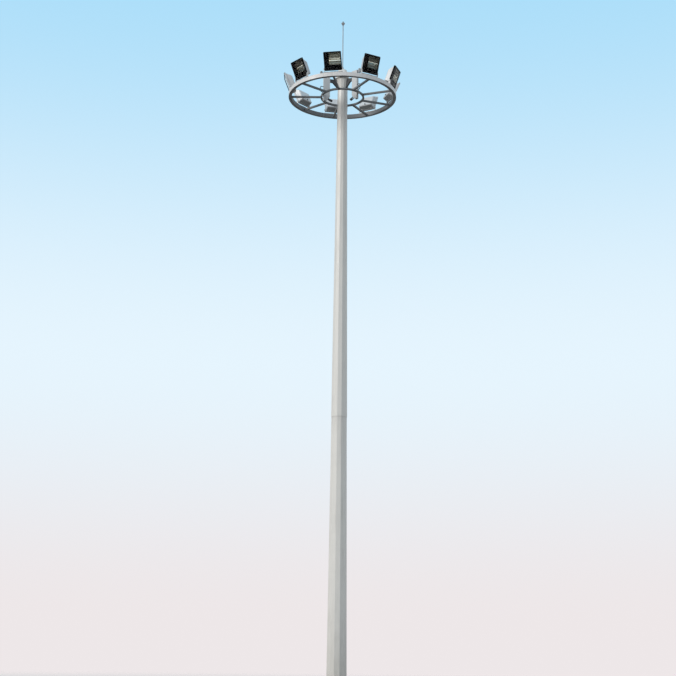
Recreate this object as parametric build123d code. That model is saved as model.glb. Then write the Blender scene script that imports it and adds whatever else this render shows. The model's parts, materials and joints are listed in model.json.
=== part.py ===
from build123d import *
import os
from math import atan2, degrees

# High mast floodlight tower with a ring carriage that is lowered for service.
# Millimetres. +Z is up and the origin is the centre of the base plate's underside.
# A bearing is counted in degrees from the near side (-Y) towards +X.

# Mast shaft: two folded twelve-sided tubes, the upper one slipped over the lower one
SIDES = 12
FACET_BEARING = 1.0
SHAFT_WALL = 6.0
SHAFT_TAPER = 0.0163
BASE_FLATS = 443.0
SLIP_EDGE_Z = 6650.0
SLIP_LENGTH = 560.0
SLIP_GAP = 0.3
SHAFT_TOP_Z = 14420.0

# Base plate and its gussets
BASE_RADIUS = 350.0
BASE_THICK = 25.0
BASE_BOLTS = 12
BASE_BOLT_CIRCLE_R = 300.0
BASE_BOLT_HOLE_R = 17.0
BASE_CABLE_HOLE_R = 120.0
GUSSET_REACH = 100.0
GUSSET_HEIGHT = 220.0
GUSSET_THICK = 12.0
GUSSET_NOSE = 25.0

# Access door on the side away from the photograph
DOOR_BEARING = 181.0
DOOR_WIDTH = 220.0
DOOR_HEIGHT = 900.0
DOOR_SILL_Z = 500.0
DOOR_CORNER_R = 60.0
DOOR_FRAME_WALL = 12.0
DOOR_FRAME_PROUD = 14.0
DOOR_FRAME_DEPTH = 60.0
DOOR_COVER_THICK = 5.0
DOOR_COVER_LAP = 9.0
DOOR_COVER_BEVEL = 1.7
LOCK_R = 14.0
LOCK_SIDES = 12
LOCK_PROUD = 9.0
LOCK_INSET = 150.0

# Flared mast head, head plate, hood and lightning rod
HEAD_FLARE_HEIGHT = 220.0
HEAD_FLARE_FLATS = 296.0
HEAD_PLATE_R = 176.0
HEAD_PLATE_THICK = 16.0
HOOD_BASE_R = 164.0
HOOD_TOP_R = 92.0
HOOD_HEIGHT = 232.0
HOOD_WALL = 4.0
HOOD_LIP = 24.0
HOOD_SHOULDER = 22.0
ROD_R = 11.0
ROD_SIDES = 12
ROD_LENGTH = 1122.0
ROD_SOCKET_R = 24.0
ROD_SOCKET_HEIGHT = 70.0
ROD_SOCKET_BEVEL = 9.0
FINIAL_R = 45.0
FINIAL_HEIGHT = 125.0
FINIAL_NECK_R = 8.0
FINIAL_POINT_R = 2.0
FINIAL_SIDES = 8

# Head arms with the rope sheaves, one arm for each hoist rope
ARMS = 3
ARM_BEARING = 48.5
ROPE_RADIUS = 390.0
SHEAVE_GROOVE_R = 45.0
SHEAVE_RIM_R = 54.0
SHEAVE_WIDTH = 18.0
SHEAVE_BORE_R = 8.2
SHEAVE_PIN_R = 8.0
SHEAVE_PIN_SIDES = 12
SHEAVE_PIN_HEAD_R = 13.0
SHEAVE_PIN_HEAD = 5.0
ARM_PLATE = 8.0
ARM_GAP = 0.5
ARM_DEPTH = 80.0
ARM_END_R = 27.0
ARM_KNEE_RADIUS = 245.0
ARM_ABOVE_SHAFT = 184.0
ARM_BELOW_SHAFT = 20.0
ARM_FOOT_TOE = 12.0
ROPE_R = 5.0
ROPE_GAP = 0.4
ROPE_SIDES = 6
ROPE_PORT_HEIGHT = 34.0
ROPE_RUN_INSIDE = 40.0

# Ring carriage
RING_BELOW_SHAFT = 240.0
RING_OUTER_R = 1251.0
RING_WIDTH = 72.0
RING_HEIGHT = 90.0
RING_WALL = 4.0
DRAIN_R = 6.0
DRAIN_SIDES = 8
DRAINS = 3
LAMPS = 9
FIRST_LAMP_BEARING = -50.0
INNER_RING_R = 509.0
SPOKE_SIZE = 40.0
SPOKE_WALL = 3.0

# Latch guides, upright channels on the inner ring that take the head arms when the carriage is up
GUIDE_WIDTH = 62.0
GUIDE_DEPTH = 150.0
GUIDE_WALL = 5.0
GUIDE_ABOVE = 570.0
GUIDE_BELOW = 135.0
GUIDE_FOOT = 66.0
GUIDE_SLOPE = 105.0
GUIDE_RING_GAP = 4.0
GUIDE_STRAP_THICK = 6.0
ROPE_SOCKET_R = 11.0
ROPE_SOCKET_SIDES = 6
ROPE_SOCKET_HEIGHT = 34.0

# Latch box on a bracket at the top of each guide, and the conduit loop below it
LATCH_BRACKET_REACH = 35.0
LATCH_BRACKET_THICK = 8.0
LATCH_BRACKET_HEIGHT = 60.0
LATCH_BOX_DEPTH = 46.0
LATCH_BOX_WIDTH = 56.0
LATCH_BOX_HEIGHT = 92.0
LATCH_BOX_RISE = 18.0
LATCH_BOX_BEVEL = 5.0
CONDUIT_R = 8.0
CONDUIT_SIDES = 6
CONDUIT_EXIT = 220.0
CONDUIT_BULGE = 75.0
CONDUIT_DROP = 132.0
CONDUIT_LANDING = 24.0
CONDUIT_CUT = 22.0
CONDUIT_FOOT_CUT = 13.0

# Steady rollers that keep the carriage clear of the shaft on its way down
STEADY_TIP_RADIUS = 243.0
STEADY_ROLLER_R = 22.0
STEADY_ROLLER_SIDES = 16
STEADY_ROLLER_Z = 110.0
STEADY_BAR = 6.0
STEADY_BAR_HEIGHT = 26.0
STEADY_PIN_R = 5.0
STEADY_PIN_SIDES = 8
STEADY_BORE_R = 5.25
STEADY_SIDE_GAP = 0.5
STEADY_LAP = 62.0

# Floodlights: sizes in the lamp's own frame, +X out of the glass, +Z up the face, pivot at the origin
TILTS = (25.0, 32.0, 20.0, 20.0, 24.0, 26.0, 25.0, 24.0, 21.0)
PIVOT_ABOVE_RING = 103.0
FACE_WIDTH = 400.0
FACE_HEIGHT = 420.0
FACE_BELOW = 45.0
FACE_AHEAD = 20.0
FRAME_THICK = 35.0
FRAME_CORNER = 8.0
FRAME_RIM = 16.0
GLASS_THICK = 5.0
GLASS_SINK = 5.0
GLASS_GAP = 0.3
MASK_THICK = 6.0
WINDOW_LEFT = 120.0
WINDOW_RIGHT = 22.0
WINDOW_TOP = 26.0
WINDOW_BOTTOM = 124.0
SHELL_INSET = 12.0
SHELL_DEPTH = 124.0
SHELL_SLOPE = 98.0
SHELL_SIDE_SLOPE = 18.0
SHELL_BASE_SLOPE = 14.0
SHELL_BEVEL = 15.0
SHELL_WALL = 3.5
GLAND_R = 13.0
GLAND_LENGTH = 20.0
GLAND_RISE = 44.0
GLAND_SIDES = 6
REFLECTOR_DEPTH = 84.0
REFLECTOR_SHEET = 1.5
REFLECTOR_CHEEK_SLOPE = 20.0
REFLECTOR_STEPS = ((0.55, 0.06), (1.0, 0.24), (1.0, 0.46), (0.78, 0.70), (0.40, 0.90))
ARC_TUBE_R = 9.0
ARC_TUBE_LAP = 2.0
ARC_DEPTH = 40.0
ARC_SIDES = 6
TRUNNION_R = 14.0
TRUNNION_SIDES = 8
PIVOT_PIN_R = 6.0
PIVOT_CLEAR = 0.2
PIVOT_BORE_SIDES = 12
PIVOT_KNOB_R = 14.0
PIVOT_KNOB_SIDES = 6
PIVOT_KNOB_LENGTH = 11.0
SIDE_GAP = 0.3

# Yokes and the feet that carry them on the ring
YOKE_CLEAR = 6.0
YOKE_BAR = 6.0
YOKE_WIDTH = 44.0
YOKE_BEND = 8.0
YOKE_TIP_BEVEL = 12.0
FOOT_LENGTH = 120.0
FOOT_WIDTH = 60.0
FOOT_HEIGHT = 14.0
FOOT_CHAMFER = 6.0

# Mast values that follow from the ones above
HEAD_Z = SHAFT_TOP_Z + HEAD_FLARE_HEIGHT
PLATE_TOP_Z = HEAD_Z + HEAD_PLATE_THICK
HOOD_TOP_Z = PLATE_TOP_Z + HOOD_HEIGHT
ROD_TOP_Z = HOOD_TOP_Z + ROD_LENGTH
ARM_TOP_Z = SHAFT_TOP_Z + ARM_ABOVE_SHAFT
ARM_FOOT_Z = SHAFT_TOP_Z - ARM_BELOW_SHAFT
SHEAVE_R = ROPE_RADIUS - SHEAVE_GROOVE_R
SHEAVE_Z = ARM_TOP_Z - SHEAVE_RIM_R + ROPE_R
ROPE_RUN_Z = SHEAVE_Z + SHEAVE_GROOVE_R
ARM_INNER_FACE = SHEAVE_WIDTH / 2 + ARM_GAP
ARM_OUTER_FACE = ARM_INNER_FACE + ARM_PLATE
ARM_BEARINGS = [ARM_BEARING + 360.0 / ARMS * index for index in range(ARMS)]

# Carriage values that follow
RING_Z = SHAFT_TOP_Z - RING_BELOW_SHAFT
RING_INNER_R = RING_OUTER_R - RING_WIDTH
RING_CENTRE_R = RING_OUTER_R - RING_WIDTH / 2
RING_TOP_Z = RING_Z + RING_HEIGHT
INNER_RING_INNER_R = INNER_RING_R - SPOKE_SIZE
GUIDE_OUTER_X = INNER_RING_INNER_R - GUIDE_RING_GAP
GUIDE_INNER_X = GUIDE_OUTER_X - GUIDE_DEPTH
GUIDE_TOP_Z = RING_Z + GUIDE_ABOVE
GUIDE_FOOT_Z = RING_Z - GUIDE_BELOW
GUIDE_FLOOR_Z = GUIDE_FOOT_Z + GUIDE_SLOPE
GUIDE_HALF_BORE = GUIDE_WIDTH / 2 - GUIDE_WALL
STRAP_TOP_Z = RING_Z + SPOKE_SIZE + GUIDE_STRAP_THICK
ROPE_FOOT_Z = GUIDE_FLOOR_Z + ROPE_SOCKET_HEIGHT
STEADY_X = STEADY_TIP_RADIUS + STEADY_ROLLER_R
STEADY_Z = RING_Z - STEADY_ROLLER_Z
LAMP_STEP = 360.0 / LAMPS
LAMP_BEARINGS = [FIRST_LAMP_BEARING + LAMP_STEP * index for index in range(LAMPS)]
DRAIN_BEARINGS = [FIRST_LAMP_BEARING + LAMP_STEP / 2 + 360.0 / DRAINS * index for index in range(DRAINS)]

# Floodlight values that follow
FACE_LOW = -FACE_BELOW
FACE_HIGH = FACE_HEIGHT - FACE_BELOW
FRAME_BACK = FACE_AHEAD - FRAME_THICK
GLASS_FRONT = FACE_AHEAD - GLASS_SINK
GLASS_BACK = GLASS_FRONT - GLASS_THICK
MASK_BACK = GLASS_BACK - MASK_THICK
WINDOW_LOW_Y = -FACE_WIDTH / 2 + WINDOW_LEFT
WINDOW_HIGH_Y = FACE_WIDTH / 2 - WINDOW_RIGHT
WINDOW_LOW_Z = FACE_LOW + WINDOW_BOTTOM
WINDOW_HIGH_Z = FACE_HIGH - WINDOW_TOP
PIVOT_Z = RING_TOP_Z + PIVOT_ABOVE_RING
YOKE_BASE_Z = RING_TOP_Z + FOOT_HEIGHT
YOKE_INNER_Y = FACE_WIDTH / 2 + YOKE_CLEAR
YOKE_OUTER_Y = YOKE_INNER_Y + YOKE_BAR


def towards(bearing):
    """Turn that carries a piece drawn along +X out to a bearing."""
    return Rot(0, 0, bearing - 90)


def shaft_flats(z):
    """Distance across the flats of the lower section's outside at a height."""
    return BASE_FLATS - SHAFT_TAPER * z


def sleeve_flats(z):
    """Distance across the flats of the upper section's outside at a height."""
    return shaft_flats(z) + 2 * (SHAFT_WALL + SLIP_GAP)


def tapered(flats_low, flats_high, z_low, z_high):
    """Solid twelve-sided taper between two heights, one flat facing FACET_BEARING."""
    outline = RegularPolygon(flats_low / 2, SIDES, major_radius=False)
    seat = Pos(0, 0, z_low) * Rot(0, 0, FACET_BEARING - 90 + 180 / SIDES)
    lean = degrees(atan2((flats_low - flats_high) / 2, z_high - z_low))
    return extrude(seat * outline, amount=z_high - z_low, taper=lean)


def tapered_tube(flats_low, flats_high, z_low, z_high):
    """Twelve-sided tapered tube with the shaft's wall, given by its outside."""
    bore_low = flats_low - 2 * SHAFT_WALL
    bore_high = flats_high - 2 * SHAFT_WALL
    outside = tapered(flats_low, flats_high, z_low, z_high)
    return outside - tapered(bore_low, bore_high, z_low, z_high)


def upright(radius, height):
    """Cylinder that stands on the origin."""
    return Cylinder(radius, height, align=(Align.CENTER, Align.CENTER, Align.MIN))


def prism(radius, sides, length):
    """Regular bar of few sides that stands on the origin, given by its outer radius."""
    return extrude(RegularPolygon(radius, sides), amount=length)


def bore(radius, sides, length):
    """Cutter for a hole of few sides, centred on the origin, given by its inner radius."""
    outline = RegularPolygon(radius, sides, major_radius=False)
    return extrude(outline, amount=length / 2, both=True)


def radial_box(x_low, x_high, width, z_low, z_high):
    """Box along +X, centred on Y."""
    block = Box(x_high - x_low, width, z_high - z_low, align=(Align.MIN, Align.CENTER, Align.MIN))
    return Pos(x_low, 0, z_low) * block


def radial_plate(points, y_low, y_high):
    """Plate in the XZ plane between two Y values, from its outline's points."""
    face = make_face(Polyline(*points, close=True))
    return extrude(Pos(0, y_high, 0) * (Plane.XZ * face), amount=y_high - y_low)


def tube_ring(inner_r, outer_r, z_low, height, wall):
    """Hollow square-section ring with drain holes in its underside."""
    width = outer_r - inner_r
    section = Rectangle(width, height) - Rectangle(width - 2 * wall, height - 2 * wall)
    ring = revolve(Plane.XZ * Pos(inner_r + width / 2, z_low + height / 2) * section, axis=Axis.Z)
    for bearing in DRAIN_BEARINGS:
        drill = Pos(inner_r + width / 2, 0, z_low) * bore(DRAIN_R, DRAIN_SIDES, 3 * wall)
        ring -= towards(bearing) * drill
    return ring


def joined(pieces):
    """Pieces of one node, which don't touch, as one compound."""
    return Compound(children=[solid for piece in pieces for solid in piece.solids()])


def at_arms(piece):
    """Copies of a piece drawn along +X, one at each head arm's bearing."""
    return joined([towards(bearing) * piece for bearing in ARM_BEARINGS])


def at_lamps(piece):
    """Copies of a piece drawn along +X, one at each lamp's bearing."""
    return joined([towards(bearing) * piece for bearing in LAMP_BEARINGS])


# Mast

def base_plate():
    """Round flange with its bolt holes and the cable hole."""
    plate = upright(BASE_RADIUS, BASE_THICK)
    plate -= upright(BASE_CABLE_HOLE_R, BASE_THICK)
    for index in range(BASE_BOLTS):
        bearing = FACET_BEARING + (index + 0.5) * 360 / BASE_BOLTS
        plate -= towards(bearing) * Pos(BASE_BOLT_CIRCLE_R, 0, 0) * upright(BASE_BOLT_HOLE_R, BASE_THICK)
    return plate


def base_gussets():
    """Stiffeners between the base plate and the shaft, one on each flat."""
    top_z = BASE_THICK + GUSSET_HEIGHT
    low_x = shaft_flats(BASE_THICK) / 2
    high_x = shaft_flats(top_z) / 2
    points = (
        (low_x, BASE_THICK),
        (low_x + GUSSET_REACH, BASE_THICK),
        (low_x + GUSSET_REACH, BASE_THICK + GUSSET_NOSE),
        (high_x + GUSSET_NOSE, top_z),
        (high_x, top_z),
    )
    gusset = radial_plate(points, -GUSSET_THICK / 2, GUSSET_THICK / 2)
    return joined([towards(FACET_BEARING + 360 / SIDES * index) * gusset for index in range(SIDES)])


def door_outline(margin):
    """Door opening's rounded outline, grown by a margin, facing +X."""
    outline = RectangleRounded(DOOR_WIDTH + 2 * margin, DOOR_HEIGHT + 2 * margin, DOOR_CORNER_R + margin)
    return Plane.YZ * Pos(0, DOOR_SILL_Z + DOOR_HEIGHT / 2) * outline


def door_frame_face_x():
    """Distance of the door frame's outer face from the mast's axis."""
    return shaft_flats(DOOR_SILL_Z) / 2 + DOOR_FRAME_PROUD


def lower_section():
    """Lower shaft, cut out for the door frame."""
    top_z = SLIP_EDGE_Z + SLIP_LENGTH
    shaft = tapered_tube(shaft_flats(BASE_THICK), shaft_flats(top_z), BASE_THICK, top_z)
    opening = extrude(door_outline(DOOR_FRAME_WALL), amount=BASE_FLATS)
    return shaft - towards(DOOR_BEARING) * opening


def door_frame():
    """Stiffening frame in the door opening."""
    ring = door_outline(DOOR_FRAME_WALL) - door_outline(0)
    seat = Pos(door_frame_face_x() - DOOR_FRAME_DEPTH, 0, 0)
    return towards(DOOR_BEARING) * extrude(seat * ring, amount=DOOR_FRAME_DEPTH)


def access_door():
    """Cover of the door opening with its two locks."""
    face_x = door_frame_face_x()
    cover = extrude(Pos(face_x, 0, 0) * door_outline(DOOR_COVER_LAP), amount=DOOR_COVER_THICK)
    cover = chamfer(cover.faces().sort_by(Axis.X)[-1].edges(), DOOR_COVER_BEVEL)
    for z in (DOOR_SILL_Z + LOCK_INSET, DOOR_SILL_Z + DOOR_HEIGHT - LOCK_INSET):
        lock = prism(LOCK_R, LOCK_SIDES, LOCK_PROUD)
        cover += Pos(face_x + DOOR_COVER_THICK, 0, z) * Rot(0, 90, 0) * lock
    return towards(DOOR_BEARING) * cover


def upper_section():
    """Upper shaft, slipped over the lower one."""
    return tapered_tube(sleeve_flats(SLIP_EDGE_Z), sleeve_flats(SHAFT_TOP_Z), SLIP_EDGE_Z, SHAFT_TOP_Z)


def head_flare():
    """Widening head of the shaft with a port for each hoist rope."""
    flare = tapered_tube(sleeve_flats(SHAFT_TOP_Z), HEAD_FLARE_FLATS, SHAFT_TOP_Z, HEAD_Z)
    port_low = ROPE_RUN_Z - ROPE_PORT_HEIGHT / 2
    port = radial_box(0, HEAD_FLARE_FLATS, 2 * ARM_INNER_FACE, port_low, port_low + ROPE_PORT_HEIGHT)
    for bearing in ARM_BEARINGS:
        flare -= towards(bearing) * port
    return flare


def head_plate():
    """Round plate that closes the head."""
    return Pos(0, 0, HEAD_Z) * upright(HEAD_PLATE_R, HEAD_PLATE_THICK)


def head_arms():
    """Pairs of plates on the flare that carry the sheaves."""
    body = tapered(sleeve_flats(ARM_FOOT_Z), sleeve_flats(SHAFT_TOP_Z), ARM_FOOT_Z, SHAFT_TOP_Z)
    body += tapered(sleeve_flats(SHAFT_TOP_Z), HEAD_FLARE_FLATS, SHAFT_TOP_Z, HEAD_Z)
    points = (
        (0, ARM_FOOT_Z),
        (sleeve_flats(ARM_FOOT_Z) / 2 + ARM_FOOT_TOE, ARM_FOOT_Z),
        (ARM_KNEE_RADIUS, ARM_TOP_Z - ARM_DEPTH),
        (SHEAVE_R + ARM_END_R, SHEAVE_Z - ARM_END_R),
        (SHEAVE_R + ARM_END_R, SHEAVE_Z + ARM_END_R),
        (SHEAVE_R - ARM_END_R, ARM_TOP_Z),
        (0, ARM_TOP_Z),
    )
    pin = Pos(SHEAVE_R, 0, SHEAVE_Z) * Rot(90, 0, 0) * sheave_pin()
    plates = [radial_plate(points, y_low, y_low + ARM_PLATE) for y_low in (-ARM_OUTER_FACE, ARM_INNER_FACE)]
    return joined([towards(bearing) * (plate - pin) - body for bearing in ARM_BEARINGS for plate in plates])


def head_sheaves():
    """Grooved rope wheels between the arm plates."""
    half = SHEAVE_WIDTH / 2
    root_r = SHEAVE_GROOVE_R - ROPE_R - ROPE_GAP
    root_half = ROPE_R + ROPE_GAP
    profile = Polyline(
        (SHEAVE_BORE_R, -half), (SHEAVE_RIM_R, -half), (root_r, -root_half),
        (root_r, root_half), (SHEAVE_RIM_R, half), (SHEAVE_BORE_R, half), close=True)
    wheel = revolve(Plane.XZ * make_face(profile), axis=Axis.Z)
    return at_arms(Pos(SHEAVE_R, 0, SHEAVE_Z) * Rot(90, 0, 0) * wheel)


def sheave_pin():
    """Shank of a sheave's pin, centred on the origin."""
    return Pos(0, 0, -ARM_OUTER_FACE) * prism(SHEAVE_PIN_R, SHEAVE_PIN_SIDES, 2 * ARM_OUTER_FACE)


def sheave_pins():
    """Pins of the sheaves, with a hexagon head on each side."""
    pin = sheave_pin()
    for foot_z in (-ARM_OUTER_FACE - SHEAVE_PIN_HEAD, ARM_OUTER_FACE):
        pin += Pos(0, 0, foot_z) * prism(SHEAVE_PIN_HEAD_R, 6, SHEAVE_PIN_HEAD)
    return at_arms(Pos(SHEAVE_R, 0, SHEAVE_Z) * Rot(90, 0, 0) * pin)


def head_ropes():
    """Ropes from inside the head, over the sheaves to where they hang free."""
    start_x = HEAD_FLARE_FLATS / 2 - ROPE_RUN_INSIDE
    path = Polyline((start_x, ROPE_RUN_Z), (SHEAVE_R, ROPE_RUN_Z))
    path += TangentArc((SHEAVE_R, ROPE_RUN_Z), (ROPE_RADIUS, SHEAVE_Z), tangent=(1, 0))
    section = Plane(origin=(start_x, 0, ROPE_RUN_Z), z_dir=(1, 0, 0)) * RegularPolygon(ROPE_R, ROPE_SIDES)
    return at_arms(sweep(section, path=Plane.XZ * path))


def hoist_ropes():
    """Hanging falls of the three ropes, from the sheaves to the guides' sockets."""
    rope = prism(ROPE_R, ROPE_SIDES, SHEAVE_Z - ROPE_FOOT_Z)
    return at_arms(Pos(ROPE_RADIUS, 0, ROPE_FOOT_Z) * rope)


def hood_outline(inset):
    """Half section of the hood's cone, drawn in by an inset from its outside."""
    base_r = HOOD_BASE_R - inset
    top_r = HOOD_TOP_R - inset
    height = HOOD_HEIGHT - inset
    rise = height - HOOD_LIP
    edge_r = top_r + (base_r - top_r) * HOOD_SHOULDER / rise
    return make_face(Polyline(
        (0, 0), (base_r, 0), (base_r, HOOD_LIP), (edge_r, height - HOOD_SHOULDER),
        (top_r - HOOD_SHOULDER, height), (0, height), close=True))


def hood():
    """Conical rain hood, open below."""
    shell = hood_outline(0) - hood_outline(HOOD_WALL)
    return Pos(0, 0, PLATE_TOP_Z) * revolve(Plane.XZ * shell, axis=Axis.Z)


def lightning_rod():
    """Rod in its socket on top of the hood."""
    socket = upright(ROD_SOCKET_R, ROD_SOCKET_HEIGHT)
    socket = chamfer(socket.faces().sort_by(Axis.Z)[-1].edges(), ROD_SOCKET_BEVEL)
    return Pos(0, 0, HOOD_TOP_Z) * (socket + prism(ROD_R, ROD_SIDES, ROD_LENGTH))


def rod_finial():
    """Eight-sided double point at the top of the rod."""
    waist = RegularPolygon(FINIAL_R, FINIAL_SIDES)
    foot = RegularPolygon(FINIAL_NECK_R, FINIAL_SIDES)
    point = RegularPolygon(FINIAL_POINT_R, FINIAL_SIDES)
    finial = loft([foot, Pos(0, 0, FINIAL_HEIGHT / 2) * waist], ruled=True)
    finial += loft([Pos(0, 0, FINIAL_HEIGHT / 2) * waist, Pos(0, 0, FINIAL_HEIGHT) * point], ruled=True)
    return Pos(0, 0, ROD_TOP_Z) * finial


# Ring carriage

def outer_ring():
    """Square-section ring that carries the lamps."""
    return tube_ring(RING_INNER_R, RING_OUTER_R, RING_Z, RING_HEIGHT, RING_WALL)


def inner_ring():
    """Smaller ring round the mast that carries the guides."""
    return tube_ring(INNER_RING_INNER_R, INNER_RING_R, RING_Z, SPOKE_SIZE, SPOKE_WALL)


def spokes():
    """Square tubes between the two rings, one under each lamp."""
    core = SPOKE_SIZE - 2 * SPOKE_WALL
    bar = radial_box(INNER_RING_INNER_R, RING_CENTRE_R, SPOKE_SIZE, RING_Z, RING_Z + SPOKE_SIZE)
    bar -= radial_box(0, RING_OUTER_R, core, RING_Z + SPOKE_WALL, RING_Z + SPOKE_SIZE - SPOKE_WALL)
    between = upright(RING_INNER_R, RING_HEIGHT) - upright(INNER_RING_R, RING_HEIGHT)
    return at_lamps(bar & (Pos(0, 0, RING_Z) * between))


def guide_channel():
    """One upright channel with its sloped hollow foot, rope socket and straps over the inner ring."""
    points = (
        (GUIDE_OUTER_X, GUIDE_FOOT_Z),
        (GUIDE_OUTER_X, GUIDE_TOP_Z),
        (GUIDE_INNER_X, GUIDE_TOP_Z),
        (GUIDE_INNER_X, GUIDE_FLOOR_Z),
        (GUIDE_OUTER_X - GUIDE_FOOT, GUIDE_FOOT_Z),
    )
    channel = radial_plate(points, -GUIDE_WIDTH / 2, GUIDE_WIDTH / 2)
    back_x = GUIDE_OUTER_X - GUIDE_WALL
    inside = 2 * GUIDE_HALF_BORE
    channel -= radial_box(0, back_x, inside, GUIDE_FLOOR_Z, GUIDE_TOP_Z + GUIDE_WALL)
    channel -= radial_box(0, back_x, inside, GUIDE_FOOT_Z - GUIDE_WALL, GUIDE_FLOOR_Z - GUIDE_WALL)
    socket = prism(ROPE_SOCKET_R, ROPE_SOCKET_SIDES, ROPE_SOCKET_HEIGHT)
    channel += Pos(ROPE_RADIUS, 0, GUIDE_FLOOR_Z) * socket
    for strap_z in (RING_Z - GUIDE_STRAP_THICK, RING_Z + SPOKE_SIZE):
        channel += radial_box(back_x, INNER_RING_R, GUIDE_WIDTH, strap_z, strap_z + GUIDE_STRAP_THICK)
    return channel


def latch_box():
    """Switch box on its bracket at the top of a guide."""
    box_x = GUIDE_OUTER_X + LATCH_BRACKET_REACH
    box_z = GUIDE_TOP_Z + LATCH_BOX_RISE - LATCH_BOX_HEIGHT
    box = radial_box(box_x, box_x + LATCH_BOX_DEPTH, LATCH_BOX_WIDTH, box_z, box_z + LATCH_BOX_HEIGHT)
    box = chamfer(box.edges().filter_by(Axis.Z), LATCH_BOX_BEVEL)
    bracket_z = GUIDE_TOP_Z - LATCH_BRACKET_HEIGHT
    return box + radial_box(GUIDE_OUTER_X, box_x, LATCH_BRACKET_THICK, bracket_z, GUIDE_TOP_Z)


def conduit_loop():
    """Loop of conduit from a guide's outer face down to the inner ring's strap."""
    exit_z = RING_Z + CONDUIT_EXIT
    low_z = exit_z - CONDUIT_DROP
    out_x = GUIDE_OUTER_X + CONDUIT_BULGE
    landing_x = GUIDE_OUTER_X + CONDUIT_LANDING
    path = Polyline(
        (GUIDE_OUTER_X, exit_z),
        (out_x - CONDUIT_CUT, exit_z),
        (out_x, exit_z - CONDUIT_CUT),
        (out_x, low_z + CONDUIT_CUT),
        (out_x - CONDUIT_CUT, low_z),
        (landing_x + CONDUIT_FOOT_CUT, low_z),
        (landing_x, low_z - CONDUIT_FOOT_CUT),
        (landing_x, STRAP_TOP_Z),
    )
    start = Plane(origin=(GUIDE_OUTER_X, 0, exit_z), z_dir=(1, 0, 0))
    section = start * RegularPolygon(CONDUIT_R, CONDUIT_SIDES)
    return sweep(section, path=Plane.XZ * path, transition=Transition.RIGHT)


def latch_guides():
    """Guides with their latch boxes and conduit loops."""
    return at_arms(guide_channel() + latch_box() + conduit_loop())


def steady_arms():
    """Pairs of bars from the guides' cheeks to the steady rollers' pins."""
    half = STEADY_BAR_HEIGHT / 2
    rise = GUIDE_FLOOR_Z - GUIDE_WALL - STEADY_BAR_HEIGHT
    points = (
        (STEADY_X - half, STEADY_Z - half),
        (STEADY_X + half, STEADY_Z - half),
        (GUIDE_INNER_X + STEADY_LAP, rise - half),
        (GUIDE_INNER_X + STEADY_LAP, rise + half),
        (STEADY_X - half, STEADY_Z + half),
    )
    pin = Pos(0, 0, -GUIDE_HALF_BORE) * prism(STEADY_PIN_R, STEADY_PIN_SIDES, 2 * GUIDE_HALF_BORE)
    arm = Pos(STEADY_X, 0, STEADY_Z) * Rot(90, 0, 0) * pin
    for y_low in (-GUIDE_HALF_BORE, GUIDE_HALF_BORE - STEADY_BAR):
        arm += radial_plate(points, y_low, y_low + STEADY_BAR)
    return at_arms(arm)


def steady_rollers():
    """Rubber rollers on the steady arms' pins."""
    width = 2 * (GUIDE_HALF_BORE - STEADY_BAR - STEADY_SIDE_GAP)
    roller = Pos(0, 0, -width / 2) * prism(STEADY_ROLLER_R, STEADY_ROLLER_SIDES, width)
    roller -= bore(STEADY_BORE_R, STEADY_PIN_SIDES, 2 * width)
    return at_arms(Pos(STEADY_X, 0, STEADY_Z) * Rot(90, 0, 0) * roller)


def lamp_feet():
    """Blocks on the ring under the yokes."""
    foot = Box(FOOT_WIDTH, FOOT_LENGTH, FOOT_HEIGHT, align=(Align.CENTER, Align.CENTER, Align.MIN))
    foot = chamfer(foot.edges().filter_by(Axis.Z), FOOT_CHAMFER)
    return at_lamps(Pos(RING_CENTRE_R, 0, RING_TOP_Z) * foot)


def yoke_block(half_width, low_z, high_z, low_bevel, tip_bevel):
    """Block across the lamp with cut corners: the outside or the inside of a yoke."""
    block = radial_box(-YOKE_WIDTH / 2, YOKE_WIDTH / 2, 2 * half_width, low_z, high_z)
    block = chamfer(block.edges().filter_by(Axis.X).sort_by(Axis.Z)[:2], low_bevel)
    if tip_bevel:
        block = chamfer(block.edges().filter_by(Axis.Y).sort_by(Axis.Z)[-2:], tip_bevel)
    return block


def lamp_yokes():
    """U brackets of flat bar that hold the lamps' pivot pins."""
    pivot_z = PIVOT_Z - YOKE_BASE_Z
    tip_z = pivot_z + YOKE_WIDTH / 2
    inner_bevel = YOKE_BEND - YOKE_BAR / 2
    yoke = yoke_block(YOKE_OUTER_Y, 0, tip_z, YOKE_BEND, YOKE_TIP_BEVEL)
    yoke -= yoke_block(YOKE_INNER_Y, YOKE_BAR, tip_z, inner_bevel, 0)
    pin_bore = bore(PIVOT_PIN_R + PIVOT_CLEAR, PIVOT_BORE_SIDES, 4 * YOKE_OUTER_Y)
    yoke -= Pos(0, 0, pivot_z) * Rot(90, 0, 0) * pin_bore
    return at_lamps(Pos(RING_CENTRE_R, 0, YOKE_BASE_Z) * yoke)


# Floodlight

def face_slab(margin, x_low, x_high, corner=0.0):
    """Slab with the lamp face's outline drawn in by a margin, between two X values."""
    width = FACE_WIDTH - 2 * margin
    slab = radial_box(x_low, x_high, width, FACE_LOW + margin, FACE_HIGH - margin)
    return chamfer(slab.edges().filter_by(Axis.X), corner) if corner else slab


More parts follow.
